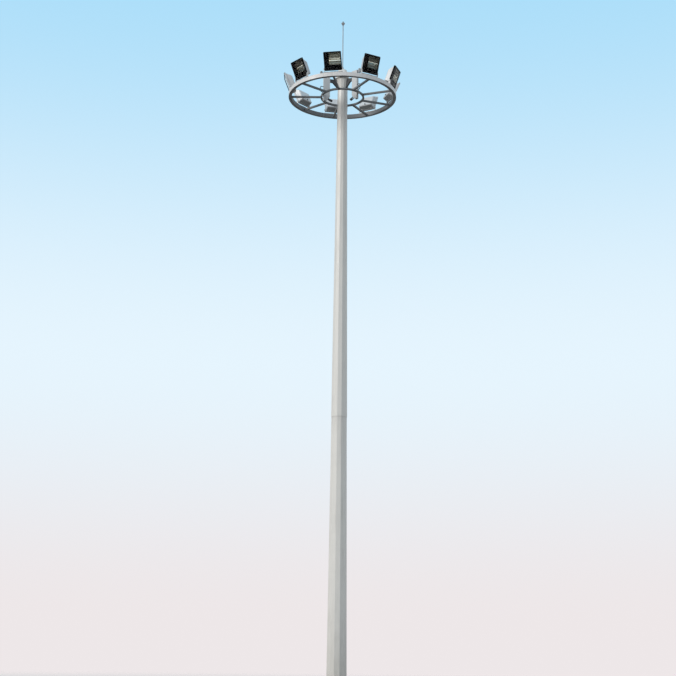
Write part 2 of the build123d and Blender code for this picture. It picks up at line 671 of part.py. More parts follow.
def lamp_frame():
    """Black front frame with its mask, trunnions, pivot pins and their hexagon heads."""
    frame = face_slab(0, FRAME_BACK, FACE_AHEAD, FRAME_CORNER)
    frame -= face_slab(FRAME_RIM, GLASS_BACK, FACE_AHEAD)
    frame -= face_slab(FRAME_RIM, FRAME_BACK, MASK_BACK)
    window = Box(MASK_THICK, WINDOW_HIGH_Y - WINDOW_LOW_Y, WINDOW_HIGH_Z - WINDOW_LOW_Z, align=Align.MIN)
    frame -= Pos(MASK_BACK, WINDOW_LOW_Y, WINDOW_LOW_Z) * window
    knob_start = YOKE_CLEAR + YOKE_BAR + SIDE_GAP
    pivot = prism(TRUNNION_R, TRUNNION_SIDES, YOKE_CLEAR - SIDE_GAP)
    pivot += prism(PIVOT_PIN_R, TRUNNION_SIDES, knob_start)
    pivot += Pos(0, 0, knob_start) * prism(PIVOT_KNOB_R, PIVOT_KNOB_SIDES, PIVOT_KNOB_LENGTH)
    for side in (-1, 1):
        frame += Pos(0, side * FACE_WIDTH / 2, 0) * Rot(-90 * side, 0, 0) * pivot
    return frame


def lamp_glass():
    """Toughened glass pane in the frame."""
    return face_slab(FRAME_RIM + GLASS_GAP, GLASS_BACK, GLASS_FRONT)


def shell_form(inset, depth, bevel):
    """Lamp housing's form behind the frame: sloped top, tapered sides, cut back edges."""
    high = FACE_HIGH - inset
    low = FACE_LOW + inset
    half = FACE_WIDTH / 2 - inset
    back = FRAME_BACK - depth
    side_view = (
        (FRAME_BACK, low),
        (FRAME_BACK, high),
        (back, high - SHELL_SLOPE),
        (back, low + SHELL_BASE_SLOPE),
    )
    plan = make_face(Polyline((FRAME_BACK, -half), (FRAME_BACK, half),
                              (back, half - SHELL_SIDE_SLOPE), (back, -half + SHELL_SIDE_SLOPE), close=True))
    form = radial_plate(side_view, -half, half) & extrude(Pos(0, 0, low) * plan, amount=high - low)
    front = form.faces().sort_by(Axis.X)[-1]
    return chamfer([edge for edge in form.edges() if edge not in front.edges()], bevel)


def lamp_housing():
    """White housing, open at the front, where the frame closes it, with its cable gland."""
    shell = shell_form(SHELL_INSET, SHELL_DEPTH, SHELL_BEVEL)
    shell -= shell_form(SHELL_INSET + SHELL_WALL, SHELL_DEPTH - SHELL_WALL, SHELL_BEVEL)
    gland_z = FACE_LOW + SHELL_INSET + GLAND_RISE
    gland = Rot(0, -90, 0) * prism(GLAND_R, GLAND_SIDES, GLAND_LENGTH)
    return shell + Pos(FRAME_BACK - SHELL_DEPTH, 0, gland_z) * gland


def arc_tube():
    """Discharge tube across the reflector, from cheek to cheek."""
    cheek_in = REFLECTOR_CHEEK_SLOPE * ARC_DEPTH / REFLECTOR_DEPTH
    low_y = WINDOW_LOW_Y + cheek_in - ARC_TUBE_LAP
    high_y = WINDOW_HIGH_Y - cheek_in + ARC_TUBE_LAP
    seat = Pos(MASK_BACK - ARC_DEPTH, low_y, (WINDOW_LOW_Z + WINDOW_HIGH_Z) / 2)
    return seat * Rot(-90, 0, 0) * prism(ARC_TUBE_R, ARC_SIDES, high_y - low_y)


def lamp_reflector():
    """Faceted trough behind the window, with its two end cheeks and the discharge tube."""
    low, high = WINDOW_LOW_Z, WINDOW_HIGH_Z
    back = MASK_BACK - REFLECTOR_DEPTH
    back_low_y = WINDOW_LOW_Y + REFLECTOR_CHEEK_SLOPE
    back_high_y = WINDOW_HIGH_Y - REFLECTOR_CHEEK_SLOPE
    outline = [(MASK_BACK, low)]
    for deep, rise in REFLECTOR_STEPS:
        outline.append((MASK_BACK - deep * REFLECTOR_DEPTH, low + rise * (high - low)))
    outline.append((MASK_BACK, high))
    plan = make_face(Polyline(
        (MASK_BACK, WINDOW_LOW_Y), (MASK_BACK, WINDOW_HIGH_Y), (back, back_high_y), (back, back_low_y),
        close=True))
    solid = radial_plate(outline, WINDOW_LOW_Y, WINDOW_HIGH_Y)
    solid = solid & extrude(Pos(0, 0, low) * plan, amount=high - low)
    front = solid.faces().sort_by(Axis.X)[-1]
    trough = offset(solid, amount=REFLECTOR_SHEET, openings=front, kind=Kind.INTERSECTION)
    return trough + arc_tube()


SINGLE_PIECES = (
    base_plate, base_gussets, lower_section, door_frame, access_door, upper_section,
    head_flare, head_plate, head_arms, head_sheaves, sheave_pins, head_ropes, hoist_ropes,
    hood, lightning_rod, rod_finial,
    outer_ring, inner_ring, spokes, latch_guides, steady_arms, steady_rollers, lamp_feet, lamp_yokes,
)
LAMP_PIECES = {
    "housing": lamp_housing,
    "frame": lamp_frame,
    "glass": lamp_glass,
    "reflector": lamp_reflector,
}


def lamp_seat(bearing, tilt):
    """Place of a floodlight: over the ring at its bearing, turned down by its tilt."""
    return towards(bearing) * Pos(RING_CENTRE_R, 0, PIVOT_Z) * Rot(0, tilt, 0)


def main():
    """Writes one file for each node."""
    os.makedirs("parts", exist_ok=True)
    for make in SINGLE_PIECES:
        export_step(make(), f"parts/{make.__name__}.step")
    for name, make in LAMP_PIECES.items():
        piece = make()
        for index, (bearing, tilt) in enumerate(zip(LAMP_BEARINGS, TILTS), start=1):
            export_step(lamp_seat(bearing, tilt) * piece, f"parts/lamp_{index}_{name}.step")


main()
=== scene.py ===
"""Finishes and small parts of a high mast floodlight tower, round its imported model."""
import json
import logging
import math
from dataclasses import dataclass, field
from enum import Enum
from typing import Any, Callable, Iterable, Sequence

import bmesh
import bpy
from mathutils import Matrix, Vector


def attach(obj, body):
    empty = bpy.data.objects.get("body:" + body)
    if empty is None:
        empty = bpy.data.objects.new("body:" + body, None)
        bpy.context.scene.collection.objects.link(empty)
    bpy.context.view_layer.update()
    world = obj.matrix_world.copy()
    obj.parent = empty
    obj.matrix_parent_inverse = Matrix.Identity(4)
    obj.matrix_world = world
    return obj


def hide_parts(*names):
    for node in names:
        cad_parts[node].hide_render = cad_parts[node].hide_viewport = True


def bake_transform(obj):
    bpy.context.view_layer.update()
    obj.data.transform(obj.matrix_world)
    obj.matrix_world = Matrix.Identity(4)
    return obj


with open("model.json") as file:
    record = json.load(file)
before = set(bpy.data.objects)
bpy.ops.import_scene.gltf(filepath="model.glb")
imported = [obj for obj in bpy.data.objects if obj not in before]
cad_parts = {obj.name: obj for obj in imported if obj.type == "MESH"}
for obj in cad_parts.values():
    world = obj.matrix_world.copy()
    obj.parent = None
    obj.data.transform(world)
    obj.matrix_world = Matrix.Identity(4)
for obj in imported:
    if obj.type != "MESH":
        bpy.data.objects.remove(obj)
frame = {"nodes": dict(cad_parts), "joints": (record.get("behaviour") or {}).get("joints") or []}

LOG = logging.getLogger("tower")
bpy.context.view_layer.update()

Colour = tuple[float, float, float]
Outline = Sequence[tuple[float, float]]
Runs = Sequence[Sequence[Vector]]

# Places that the pieces share, in metres and degrees
SIDES = 12
CORNER = 1.0 / math.cos(math.pi / SIDES)
FACET_BEARING = 1.0
SHAFT_TAPER = 0.0163
BASE_FLATS = 0.443
SLEEVE_STEP = 0.0126
SLIP_EDGE_Z = 6.65
SHAFT_TOP_Z = 14.42
HEAD_Z = 14.64
HEAD_FLATS = 0.296
PLATE_TOP_Z = 14.656
HOOD_TOP_Z = 14.888
ARM_COUNT = 3
ARM_BEARING = 48.5
LAMP_COUNT = 9
LAMP_BEARING = -50.0
ROPE_RADIUS = 0.390
ROPE_R = 0.005
SHEAVE_Z = 14.555
SHEAVE_GROOVE_R = 0.045
ROPE_FOOT_Z = 14.184
RING_Z = 14.180
RING_TOP_Z = 14.270
RING_CENTRE_R = 1.215
RING_INNER_R = 1.179
INNER_RING_R = 0.509
INNER_RING_TOP_Z = 14.220
YOKE_FLOOR_Z = 14.290
SMOOTH_ANGLE = math.radians(35.0)
BOTH_SIDES = (-1.0, 1.0)


class Slot(Enum):
    """Material slots of the record."""

    MAST_PAINT = "mast_paint"
    RING_PAINT = "ring_paint"
    DARK_STEEL = "dark_steel"
    ZINC_STEEL = "zinc_steel"
    WIRE_ROPE = "wire_rope"
    ROLLER_RUBBER = "roller_rubber"
    LAMP_PAINT = "lamp_paint"
    LAMP_BLACK = "lamp_black"
    LAMP_GLASS = "lamp_glass"
    REFLECTOR = "reflector_metal"


class Body(Enum):
    """Bodies that carry pieces, apart from the floodlights."""

    MAST = "mast"
    CARRIAGE = "carriage"


# Node trees


class Bench:
    """Short hand for building one node tree."""

    def __init__(self, tree: bpy.types.NodeTree) -> None:
        """Works on a shader or geometry tree."""
        self.tree = tree

    def node(self, kind: str, feeds: dict[Any, Any] | None = None,
             **settings: Any) -> bpy.types.Node:
        """Adds a node.

        Args:
            kind: Blender's name of the node type.
            feeds: sockets, nodes or plain values for its inputs, by name or number.
            settings: the node's own options.

        Returns:
            The new node.
        """
        made = self.tree.nodes.new(kind)
        for name, value in settings.items():
            setattr(made, name, value)
        for key, value in (feeds or {}).items():
            self.feed(made.inputs[key], value)
        return made

    def feed(self, socket: bpy.types.NodeSocket, value: Any) -> None:
        """Links a socket or a node's first output to an input, or sets a plain value on it.

        Args:
            socket: the input.
            value: what it gets; a colour has three numbers.
        """
        if isinstance(value, bpy.types.Node):
            value = value.outputs[0]
        if isinstance(value, bpy.types.NodeSocket):
            self.tree.links.new(value, socket)
        else:
            socket.default_value = (*value, 1.0) if socket.type == "RGBA" else value

    def maths(self, operation: str, *values: Any, clamp: bool = False) -> bpy.types.NodeSocket:
        """Adds a Math node.

        Args:
            operation: its operation.
            values: its inputs in order.
            clamp: whether the result stays from 0 to 1.

        Returns:
            The result's socket.
        """
        feeds = dict(enumerate(values))
        made = self.node("ShaderNodeMath", feeds, operation=operation, use_clamp=clamp)
        return made.outputs[0]

    def blend(self, factor: Any, low: Any, high: Any) -> bpy.types.NodeSocket:
        """Mixes two colours by the share of the second one."""
        return self.node("ShaderNodeMix", {0: factor, 6: low, 7: high}, data_type="RGBA").outputs[2]

    def fit(self, value: Any, low: float, high: float, to_low: float = 0.0,
            to_high: float = 1.0) -> bpy.types.NodeSocket:
        """Maps a range smoothly onto another and holds it there.

        Args:
            value: the input.
            low: value that gives to_low.
            high: value that gives to_high.
            to_low: result at low.
            to_high: result at high.

        Returns:
            The result's socket.
        """
        feeds = {"Value": value, "From Min": low, "From Max": high, "To Min": to_low,
                 "To Max": to_high}
        return self.node("ShaderNodeMapRange", feeds, interpolation_type="SMOOTHSTEP").outputs[0]

    def axis(self, vector: Any, letter: str) -> bpy.types.NodeSocket:
        """Gives one component of a vector."""
        return self.node("ShaderNodeSeparateXYZ", {0: vector}).outputs[letter]

    def place(self, rise: float = 1.0) -> bpy.types.NodeSocket:
        """Gives Object coordinates, with the heights multiplied by a factor."""
        where = self.node("ShaderNodeTexCoord").outputs["Object"]
        return self.node("ShaderNodeMapping", {0: where, "Scale": (1.0, 1.0, rise)}).outputs[0]

    def noise(self, where: Any, scale: Any, detail: float = 4.0,
              rough: float = 0.55) -> bpy.types.NodeSocket:
        """Adds a noise of so many cells a metre, with its octaves and the fine ones' weight."""
        feeds = {"Vector": where, "Scale": scale, "Detail": detail, "Roughness": rough}
        return self.node("ShaderNodeTexNoise", feeds).outputs[0]


def empty_tree(owner: bpy.types.ID) -> bpy.types.NodeTree:
    """Gives a material or the world a node tree with nothing in it.

    Args:
        owner: whose tree it is.

    Returns:
        The tree.
    """
    owner.use_nodes = True
    owner.node_tree.nodes.clear()
    return owner.node_tree


class Group(Bench):
    """Bench on a new node group with named sockets."""

    def __init__(self, name: str, inputs: dict[str, Any], outputs: Sequence[str],
                 kind: str = "ShaderNodeTree", gives: str = "NodeSocketFloat") -> None:
        """Makes the group.

        Args:
            name: its name.
            inputs: input names with their starting values, or a socket type's name.
            outputs: output names.
            kind: tree type.
            gives: socket type of the outputs.
        """
        super().__init__(bpy.data.node_groups.new(name, kind))
        sockets = self.tree.interface
        for label, value in inputs.items():
            known = {float: "NodeSocketFloat", int: "NodeSocketInt"}.get(type(value))
            made = sockets.new_socket(label, in_out="INPUT", socket_type=known or value)
            if known:
                made.default_value = value
        for label in outputs:
            sockets.new_socket(label, in_out="OUTPUT", socket_type=gives)
        self.given = self.node("NodeGroupInput").outputs
        self.taken = self.node("NodeGroupOutput").inputs

    def give(self, **results: Any) -> bpy.types.NodeTree:
        """Feeds the outputs.

        Args:
            results: what each output gives, by name.

        Returns:
            The group's tree.
        """
        for label, value in results.items():
            self.feed(self.taken[label], value)
        return self.tree


class ShaderGroups:
    """Effects that several finishes share, each built once."""

    def __init__(self) -> None:
        """Builds the groups."""
        self.weather = self._weather()
        self.dust = self._dust()
        self.under = self._underside_shade()
        self.soil = self._soil()
        self.folds = self._folds()
        self.drips = self._drips()
        self.skin = self._skin()
        self.spangle = self._spangle()

    @staticmethod
    def _weather() -> bpy.types.NodeTree:
        """Builds cloudy tone, rain streaks that run down, and fine specks.

        Returns:
            The group's tree.
        """
        group = Group("weather", {"Scale": 3.0, "Streak Width": 26.0},
                      ("Cloud", "Streak", "Speck"))
        where = group.place()
        cloud = group.noise(where, group.given["Scale"], 5.0, 0.6)
        run = group.noise(group.place(0.028), group.given["Streak Width"], 3.0, 0.6)
        gate = group.noise(group.place(0.35), 2.2, 2.0)
        streak = group.maths("MULTIPLY", group.fit(run, 0.52, 0.72), group.fit(gate, 0.42, 0.62))
        speck = group.noise(where, 210.0, 2.0, 0.5)
        return group.give(Cloud=group.fit(cloud, 0.36, 0.66), Streak=streak,
                          Speck=group.fit(speck, 0.66, 0.76))

    @staticmethod
    def _dust() -> bpy.types.NodeTree:
        """Builds dust that settles on what faces up.

        Returns:
            The group's tree.
        """
        group = Group("settled_dust", {"Amount": 0.5}, ("Dust",))
        up = group.axis(group.node("ShaderNodeNewGeometry").outputs["Normal"], "Z")
        patch = group.fit(group.noise(group.place(), 14.0, 5.0, 0.65), 0.3, 0.7, 0.45, 1.0)
        lying = group.maths("MULTIPLY", group.fit(up, 0.35, 0.95), patch)
        return group.give(Dust=group.maths("MULTIPLY", lying, group.given["Amount"], clamp=True))

    @staticmethod
    def _underside_shade() -> bpy.types.NodeTree:
        """Builds a mask of what faces down, where painted shade darkens the undersides.

        Returns:
            The group's tree.
        """
        group = Group("underside", {}, ("Under",))
        up = group.axis(group.node("ShaderNodeNewGeometry").outputs["Normal"], "Z")
        return group.give(Under=group.fit(up, -0.45, -0.75))

    @staticmethod
    def _soil() -> bpy.types.NodeTree:
        """Builds splashed soil that thins out with height over the ground.

        Returns:
            The group's tree.
        """
        group = Group("splashed_soil", {"Reach": 0.6}, ("Soil",))
        share = group.maths("DIVIDE", group.axis(group.place(), "Z"), group.given["Reach"])
        uneven = group.noise(group.place(0.22), 9.0, 5.0, 0.6)
        ragged = group.maths("MULTIPLY_ADD", uneven, 0.7, share)
        return group.give(Soil=group.fit(ragged, 1.25, 0.35))

    @staticmethod
    def _folds() -> bpy.types.NodeTree:
        """Builds a mask of the shaft's twelve folds, where the coating is rubbed and a painted
        highlight lightens the bends.

        Returns:
            The group's tree.
        """
        group = Group("shaft_folds", {"Width": 0.06}, ("Fold",))
        where = group.place()
        angle = group.maths("ARCTAN2", group.axis(where, "Y"), group.axis(where, "X"))
        whole_turns = 100.0  # keeps the sum above zero
        turn = group.maths("MULTIPLY_ADD", angle, SIDES / math.tau,
                           whole_turns - FACET_BEARING * SIDES / 360.0)
        offset = group.maths("SUBTRACT", group.maths("FRACT", turn), 0.5)
        line = group.maths("LESS_THAN", group.maths("ABSOLUTE", offset), group.given["Width"])
        patch = group.fit(group.noise(group.place(0.3), 9.0, 4.0, 0.65), 0.45, 0.7)
        return group.give(Fold=group.maths("MULTIPLY", line, patch))

    @staticmethod
    def _drips() -> bpy.types.NodeTree:
        """Builds dirty water marks that run down from an edge.

        Returns:
            The group's tree.
        """
        group = Group("edge_drips", {"Edge": 0.0, "Length": 0.5}, ("Drip",))
        drop = group.maths("SUBTRACT", group.given["Edge"], group.axis(group.place(), "Z"))
        below = group.maths("DIVIDE", drop, group.given["Length"])
        reach = group.fit(group.noise(group.place(0.05), 34.0, 4.0, 0.6), 0.40, 0.68, 0.06, 1.0)
        inside = group.maths("GREATER_THAN", below, 0.0)
        fading = group.fit(group.maths("DIVIDE", below, reach), 1.0, 0.0)
        return group.give(Drip=group.maths("MULTIPLY", inside, fading))

    @staticmethod
    def _skin() -> bpy.types.NodeTree:
        """Builds the height of a sprayed or powder coat: fine peel over slow waves.

        Returns:
            The group's tree.
        """
        group = Group("coat_skin", {"Peel Scale": 420.0}, ("Height",))
        peel = group.noise(group.place(), group.given["Peel Scale"], 2.0, 0.5)
        wave = group.noise(group.place(), 11.0, 2.0, 0.5)
        return group.give(Height=group.maths("MULTIPLY_ADD", wave, 1.5, peel))

    @staticmethod
    def _spangle() -> bpy.types.NodeTree:
        """Builds the crystal pattern of hot dip zinc.

        Returns:
            The group's tree.
        """
        group = Group("zinc_spangle", {"Scale": 110.0}, ("Tone", "Grain"))
        where = group.place()
        cells = group.node("ShaderNodeTexVoronoi", {"Vector": where, "Scale": group.given["Scale"]})
        tone = group.node("ShaderNodeSeparateColor", {0: cells.outputs["Color"]})
        return group.give(Tone=tone, Grain=group.noise(where, 260.0, 3.0, 0.6))


class Easel(Bench):
    """Bench of one material, with its shader and the shared effects."""

    def __init__(self, tree: bpy.types.NodeTree, groups: ShaderGroups) -> None:
        """Sets up the shader.

        Args:
            tree: the material's empty tree.
            groups: the shared effects.
        """
        super().__init__(tree)
        self.groups = groups
        self.shader = self.node("ShaderNodeBsdfPrincipled")
        self.node("ShaderNodeOutputMaterial", {"Surface": self.shader})

    def use(self, group: bpy.types.NodeTree, **values: float) -> Any:
        """Places a shared effect.

        Args:
            group: the effect's tree.
            values: its inputs, with an underscore for each space.

        Returns:
            The effect's outputs.
        """
        made = self.node("ShaderNodeGroup", node_tree=group)
        for label, value in values.items():
            made.inputs[label.replace("_", " ")].default_value = value
        return made.outputs

    def cover(self, tone: Any, mask: Any, share: float, colour: Colour) -> bpy.types.NodeSocket:
        """Lays a colour over a tone, where a mask says and by a share of it."""
        return self.blend(self.maths("MULTIPLY", mask, share), tone, colour)

    def emboss(self, height: Any, depth: float) -> None:
        """Bends the shader's normal by a height that counts in units of a depth."""
        self.wear(Normal=self.node("ShaderNodeBump", {"Height": height, "Distance": depth}))

    def wear(self, **looks: Any) -> None:
        """Feeds the shader's inputs, which are named with an underscore for each space."""
        for label, value in looks.items():
            self.feed(self.shader.inputs[label.replace("_", " ")], value)


# Finishes


@dataclass(frozen=True)
class Finish:
    """A material, and the slot that it stands for."""

    name: str
    slot: Slot

    def wire(self, easel: Easel) -> None:
        """Feeds the shader; each finish says how."""
        raise NotImplementedError


@dataclass(frozen=True)
class Coating(Finish):
    """Sprayed or powder coated metal that has stood in the weather."""

    colour: Colour
    grime: Colour = (0.24, 0.22, 0.19)
    roughness: float = 0.45
    cloud: float = 0.10
    streak: float = 0.25
    speck: float = 0.15
    dust: float = 0.25
    dust_tone: Colour = (0.36, 0.33, 0.29)
    fade: float = 0.012
    shine: float = 0.5
    soil_reach: float = 0.0
    soil: float = 0.75
    soil_tone: Colour = (0.26, 0.21, 0.16)
    # The next three fields make the coat darker towards the bottom.
    low_darkening_reach: float = 0.0
    film: float = 0.50
    low_darkening_tone: Colour = (0.33, 0.30, 0.26)
    drip_edges: tuple[float, ...] = ()
    drip_length: float = 0.7
    drip: float = 0.14
    folds: float = 0.0
    fold_wear_and_highlight_tone: Colour = (0.80, 0.80, 0.78)
    # The two fields below paint shade onto faces that point down.
    under: float = 0.0
    underside_shade_tone: Colour = (0.10, 0.10, 0.095)
    peel: float = 0.00012
    peel_scale: float = 420.0

    def wire(self, easel: Easel) -> None:
        """Lays grime, streaks, dust, rubbed folds with a painted highlight, painted shade on what
        faces down and a darkening towards the bottom over the colour.

        Args:
            easel: the material's bench.
        """
        groups = easel.groups
        weather = easel.use(groups.weather)
        faded = tuple(min(1.0, part * 1.10 + self.fade) for part in self.colour)
        tone = easel.blend(weather["Cloud"], self.colour, faded)
        for mask, share in (("Cloud", self.cloud), ("Streak", self.streak), ("Speck", self.speck)):
            tone = easel.cover(tone, weather[mask], share, self.grime)
        # Lighter folds: rubbed wear together with a painted highlight along the bends.
        if self.folds:
            tone = easel.cover(tone, easel.use(groups.folds)[0], self.folds, self.fold_wear_and_highlight_tone)
        for edge in self.drip_edges:
            drip = easel.use(groups.drips, Edge=edge, Length=self.drip_length)[0]
            tone = easel.cover(tone, drip, self.drip, self.grime)
        dust = easel.use(groups.dust, Amount=self.dust)[0]
        tone = easel.blend(dust, tone, self.dust_tone)
        # Painted shade on what faces down.
        if self.under:
            tone = easel.cover(tone, easel.use(groups.under)[0], self.under, self.underside_shade_tone)
        # Darker towards the bottom of the piece.
        if self.low_darkening_reach:
            film = easel.use(groups.soil, Reach=self.low_darkening_reach)[0]
            tone = easel.cover(tone, film, self.film, self.low_darkening_tone)
        rough = easel.maths("MULTIPLY_ADD", weather["Cloud"], 0.14, self.roughness - 0.07)
        if self.soil_reach:
            soil = easel.use(groups.soil, Reach=self.soil_reach)[0]
            soil = easel.maths("MULTIPLY", soil, self.soil)
            tone = easel.blend(soil, tone, self.soil_tone)
            rough = easel.maths("MULTIPLY_ADD", soil, 0.3, rough)
        easel.wear(Base_Color=tone, Roughness=rough, Specular_IOR_Level=self.shine)
        easel.emboss(easel.use(groups.skin, Peel_Scale=self.peel_scale)[0], self.peel)


@dataclass(frozen=True)
class Galvanised(Finish):
    """Zinc coated or plain steel fittings."""

    bright: Colour = (0.62, 0.63, 0.64)
    dull: Colour = (0.40, 0.41, 0.42)
    bloom: Colour = (0.55, 0.55, 0.54)
    roughness: float = 0.46
    metallic: float = 0.85
    scale: float = 110.0
    grain: float = 0.00015

    def wire(self, easel: Easel) -> None:
        """Varies tone and gloss from crystal to crystal, with white bloom in patches.

        Args:
            easel: the material's bench.
        """
        spangle = easel.use(easel.groups.spangle, Scale=self.scale)
        cloud = easel.use(easel.groups.weather, Scale=16.0)["Cloud"]
        bloom = easel.maths("MULTIPLY", cloud, 0.35)
        tone = easel.blend(spangle["Tone"], self.dull, self.bright)
        rough = easel.maths("MULTIPLY_ADD", spangle["Tone"], 0.16, self.roughness - 0.08)
        rough = easel.maths("MULTIPLY_ADD", bloom, 0.3, rough)
        easel.wear(Base_Color=easel.blend(bloom, tone, self.bloom), Roughness=rough,
                   Metallic=self.metallic)
        easel.emboss(spangle["Grain"], self.grain)


@dataclass(frozen=True)
class Rubber(Finish):
    """Black rubber or silicone, dusty and finely pitted."""

    colour: Colour = (0.022, 0.022, 0.023)
    bloom: Colour = (0.13, 0.12, 0.11)
    pit: float = 0.0001

    def wire(self, easel: Easel) -> None:
        """Lays a grey bloom over the black.

        Args:
            easel: the material's bench.
        """
        cloud = easel.use(easel.groups.weather, Scale=22.0)["Cloud"]
        easel.wear(Base_Color=easel.cover(self.colour, cloud, 0.22, self.bloom),
                   Roughness=easel.fit(cloud, 0.0, 1.0, 0.62, 0.85))
        easel.emboss(easel.noise(easel.place(), 900.0, 2.0), self.pit)


@dataclass(frozen=True)
class Mirror(Finish):
    """Hammered aluminium of the reflectors, in colours that paint the reflections in the windows.
    """

    colour: Colour = (0.11, 0.108, 0.092)
    bloom: Colour = (0.22, 0.21, 0.18)
    haze: float = 0.30
    roughness: float = 0.32
    dent: float = 0.000012
    dent_scale: float = 120.0

    def wire(self, easel: Easel) -> None:
        """Clouds the sheet and dents it with round hammer marks.

        Args:
            easel: the material's bench.
        """
        cloud = easel.use(easel.groups.weather, Scale=30.0)["Cloud"]
        haze = easel.maths("MULTIPLY", cloud, self.haze)
        easel.wear(Base_Color=easel.blend(haze, self.colour, self.bloom), Metallic=1.0,
                   Roughness=easel.maths("MULTIPLY_ADD", haze, 0.4, self.roughness))
        feeds = {"Vector": easel.place(), "Scale": self.dent_scale}
        easel.emboss(easel.node("ShaderNodeTexVoronoi", feeds), self.dent)


@dataclass(frozen=True)
class Glass(Finish):
    """Toughened pane with a thin film of dust."""

    colour: Colour = (0.97, 0.985, 0.975)
    film: Colour = (0.5, 0.48, 0.43)
    index: float = 1.15

    def wire(self, easel: Easel) -> None:
        """Roughens the pane where dust lies.

        Args:
            easel: the material's bench.
        """
        cloud = easel.use(easel.groups.weather, Scale=9.0)["Cloud"]
        easel.wear(Base_Color=easel.cover(self.colour, cloud, 0.07, self.film),
                   Roughness=easel.fit(cloud, 0.0, 1.0, 0.0, 0.01),
                   Transmission_Weight=1.0, IOR=self.index)


@dataclass(frozen=True)
class Enamel(Finish):
    """Plain glossy or satin body such as quartz, ceramic or moulded nylon."""

    colour: Colour
    shade: Colour
    roughness: float
    peel: float = 0.00006
    peel_scale: float = 700.0

    def wire(self, easel: Easel) -> None:
        """Clouds the colour a little and gives it a moulded skin.

        Args:
            easel: the material's bench.
        """
        cloud = easel.use(easel.groups.weather, Scale=40.0)["Cloud"]
        easel.wear(Base_Color=easel.cover(self.colour, cloud, 0.6, self.shade),
                   Roughness=easel.maths("MULTIPLY_ADD", cloud, 0.12, self.roughness - 0.06))
        easel.emboss(easel.use(easel.groups.skin, Peel_Scale=self.peel_scale)[0], self.peel)


MAST_PAINT = Coating("mast_coating", Slot.MAST_PAINT, (0.72, 0.690, 0.650), roughness=0.42,
                     soil_reach=0.55, low_darkening_reach=3.4, drip_edges=(SLIP_EDGE_Z, HEAD_Z), folds=0.35)
RING_PAINT = Coating("ring_coating", Slot.RING_PAINT, (0.73, 0.71, 0.70), roughness=0.48,
                     cloud=0.14, streak=0.2)
# Painted shade: the ring is one light grey coat, and this darker copy goes on the outer ring's
# underside and inner side, the inner ring, the spokes and their welds, with more painted shade on
# what faces down.
RING_SHADE = Coating("ring_painted_shade_coating", Slot.RING_PAINT, (0.17, 0.175, 0.185), roughness=0.55,
                     cloud=0.2, streak=0.15, speck=0.3, shine=0.3, under=0.75,
                     underside_shade_tone=(0.08, 0.08, 0.085))
GUIDE_PAINT = Coating("guide_coating", Slot.RING_PAINT, (0.545, 0.55, 0.555), cloud=0.14,
                      streak=0.3)
YOKE_PAINT = Coating("yoke_coating", Slot.RING_PAINT, (0.70, 0.70, 0.70), cloud=0.12, streak=0.2)
DARK_STEEL = Coating("dark_coating", Slot.DARK_STEEL, (0.030, 0.032, 0.036),
                     grime=(0.08, 0.07, 0.06), streak=0.15, fade=0.004, shine=0.3)
LATCH_PAINT = Coating("latch_coating", Slot.DARK_STEEL, (0.27, 0.275, 0.285), streak=0.2)
# The lamp coat's under share paints shade onto the housings' undersides.
LAMP_WHITE = Coating("lamp_white_coat", Slot.LAMP_PAINT, (0.53, 0.535, 0.545), roughness=0.36,
                     cloud=0.07, streak=0.18, under=0.55)
LAMP_BLACK = Coating("lamp_black_coat", Slot.LAMP_BLACK, (0.0035, 0.0035, 0.0040), roughness=0.5,
                     grime=(0.02, 0.019, 0.017), dust=0.05, fade=0.0, shine=0.03, cloud=0.03,
                     streak=0.04, speck=0.0, peel_scale=800.0)
ZINC = Galvanised("zinc_coat", Slot.ZINC_STEEL)
ROD_ZINC = Galvanised("rod_zinc", Slot.ZINC_STEEL, (0.30, 0.31, 0.33), (0.18, 0.19, 0.20),
                      roughness=0.55)
BOLT_STEEL = Galvanised("bolt_steel", Slot.ZINC_STEEL, (0.55, 0.54, 0.52), (0.34, 0.33, 0.31),
                        scale=420.0)
ROPE_STEEL = Galvanised("rope_steel", Slot.WIRE_ROPE, (0.50, 0.50, 0.50), (0.30, 0.30, 0.30),
                        scale=700.0, roughness=0.38)
RUBBER = Rubber("black_rubber", Slot.ROLLER_RUBBER)
CONDUIT = Rubber("conduit_black", Slot.RING_PAINT, (0.030, 0.031, 0.034))
# Painted reflections: the sheets are far darker than bare aluminium, the polished strips are
# lighter to paint bright bars, and lamp 2 gets lighter copies of both.
DARK_REFLECTION_SHEET = Mirror("reflector_painted_dark", Slot.REFLECTOR)
DIM_HIGHLIGHT_STRIP = Mirror("reflector_painted_dim_highlight", Slot.REFLECTOR, (0.50, 0.48, 0.43), haze=0.05,
                    roughness=0.10)
BRIGHT_REFLECTION_SHEET = Mirror("reflector_painted_bright", Slot.REFLECTOR, (0.25, 0.245, 0.205))
BRIGHT_HIGHLIGHT_STRIP = Mirror("reflector_painted_bright_highlight", Slot.REFLECTOR, (0.97, 0.90, 0.77), haze=0.05,
                     roughness=0.07)
PANE = Glass("lamp_pane", Slot.LAMP_GLASS)
QUARTZ = Enamel("frosted_quartz", Slot.LAMP_GLASS, (0.90, 0.87, 0.74), (0.78, 0.74, 0.60), 0.22)
CERAMIC = Enamel("lamp_ceramic", Slot.LAMP_PAINT, (0.82, 0.80, 0.74), (0.66, 0.63, 0.56), 0.35)
NYLON = Enamel("black_nylon", Slot.LAMP_PAINT, (0.018, 0.018, 0.019), (0.035, 0.034, 0.033), 0.5)


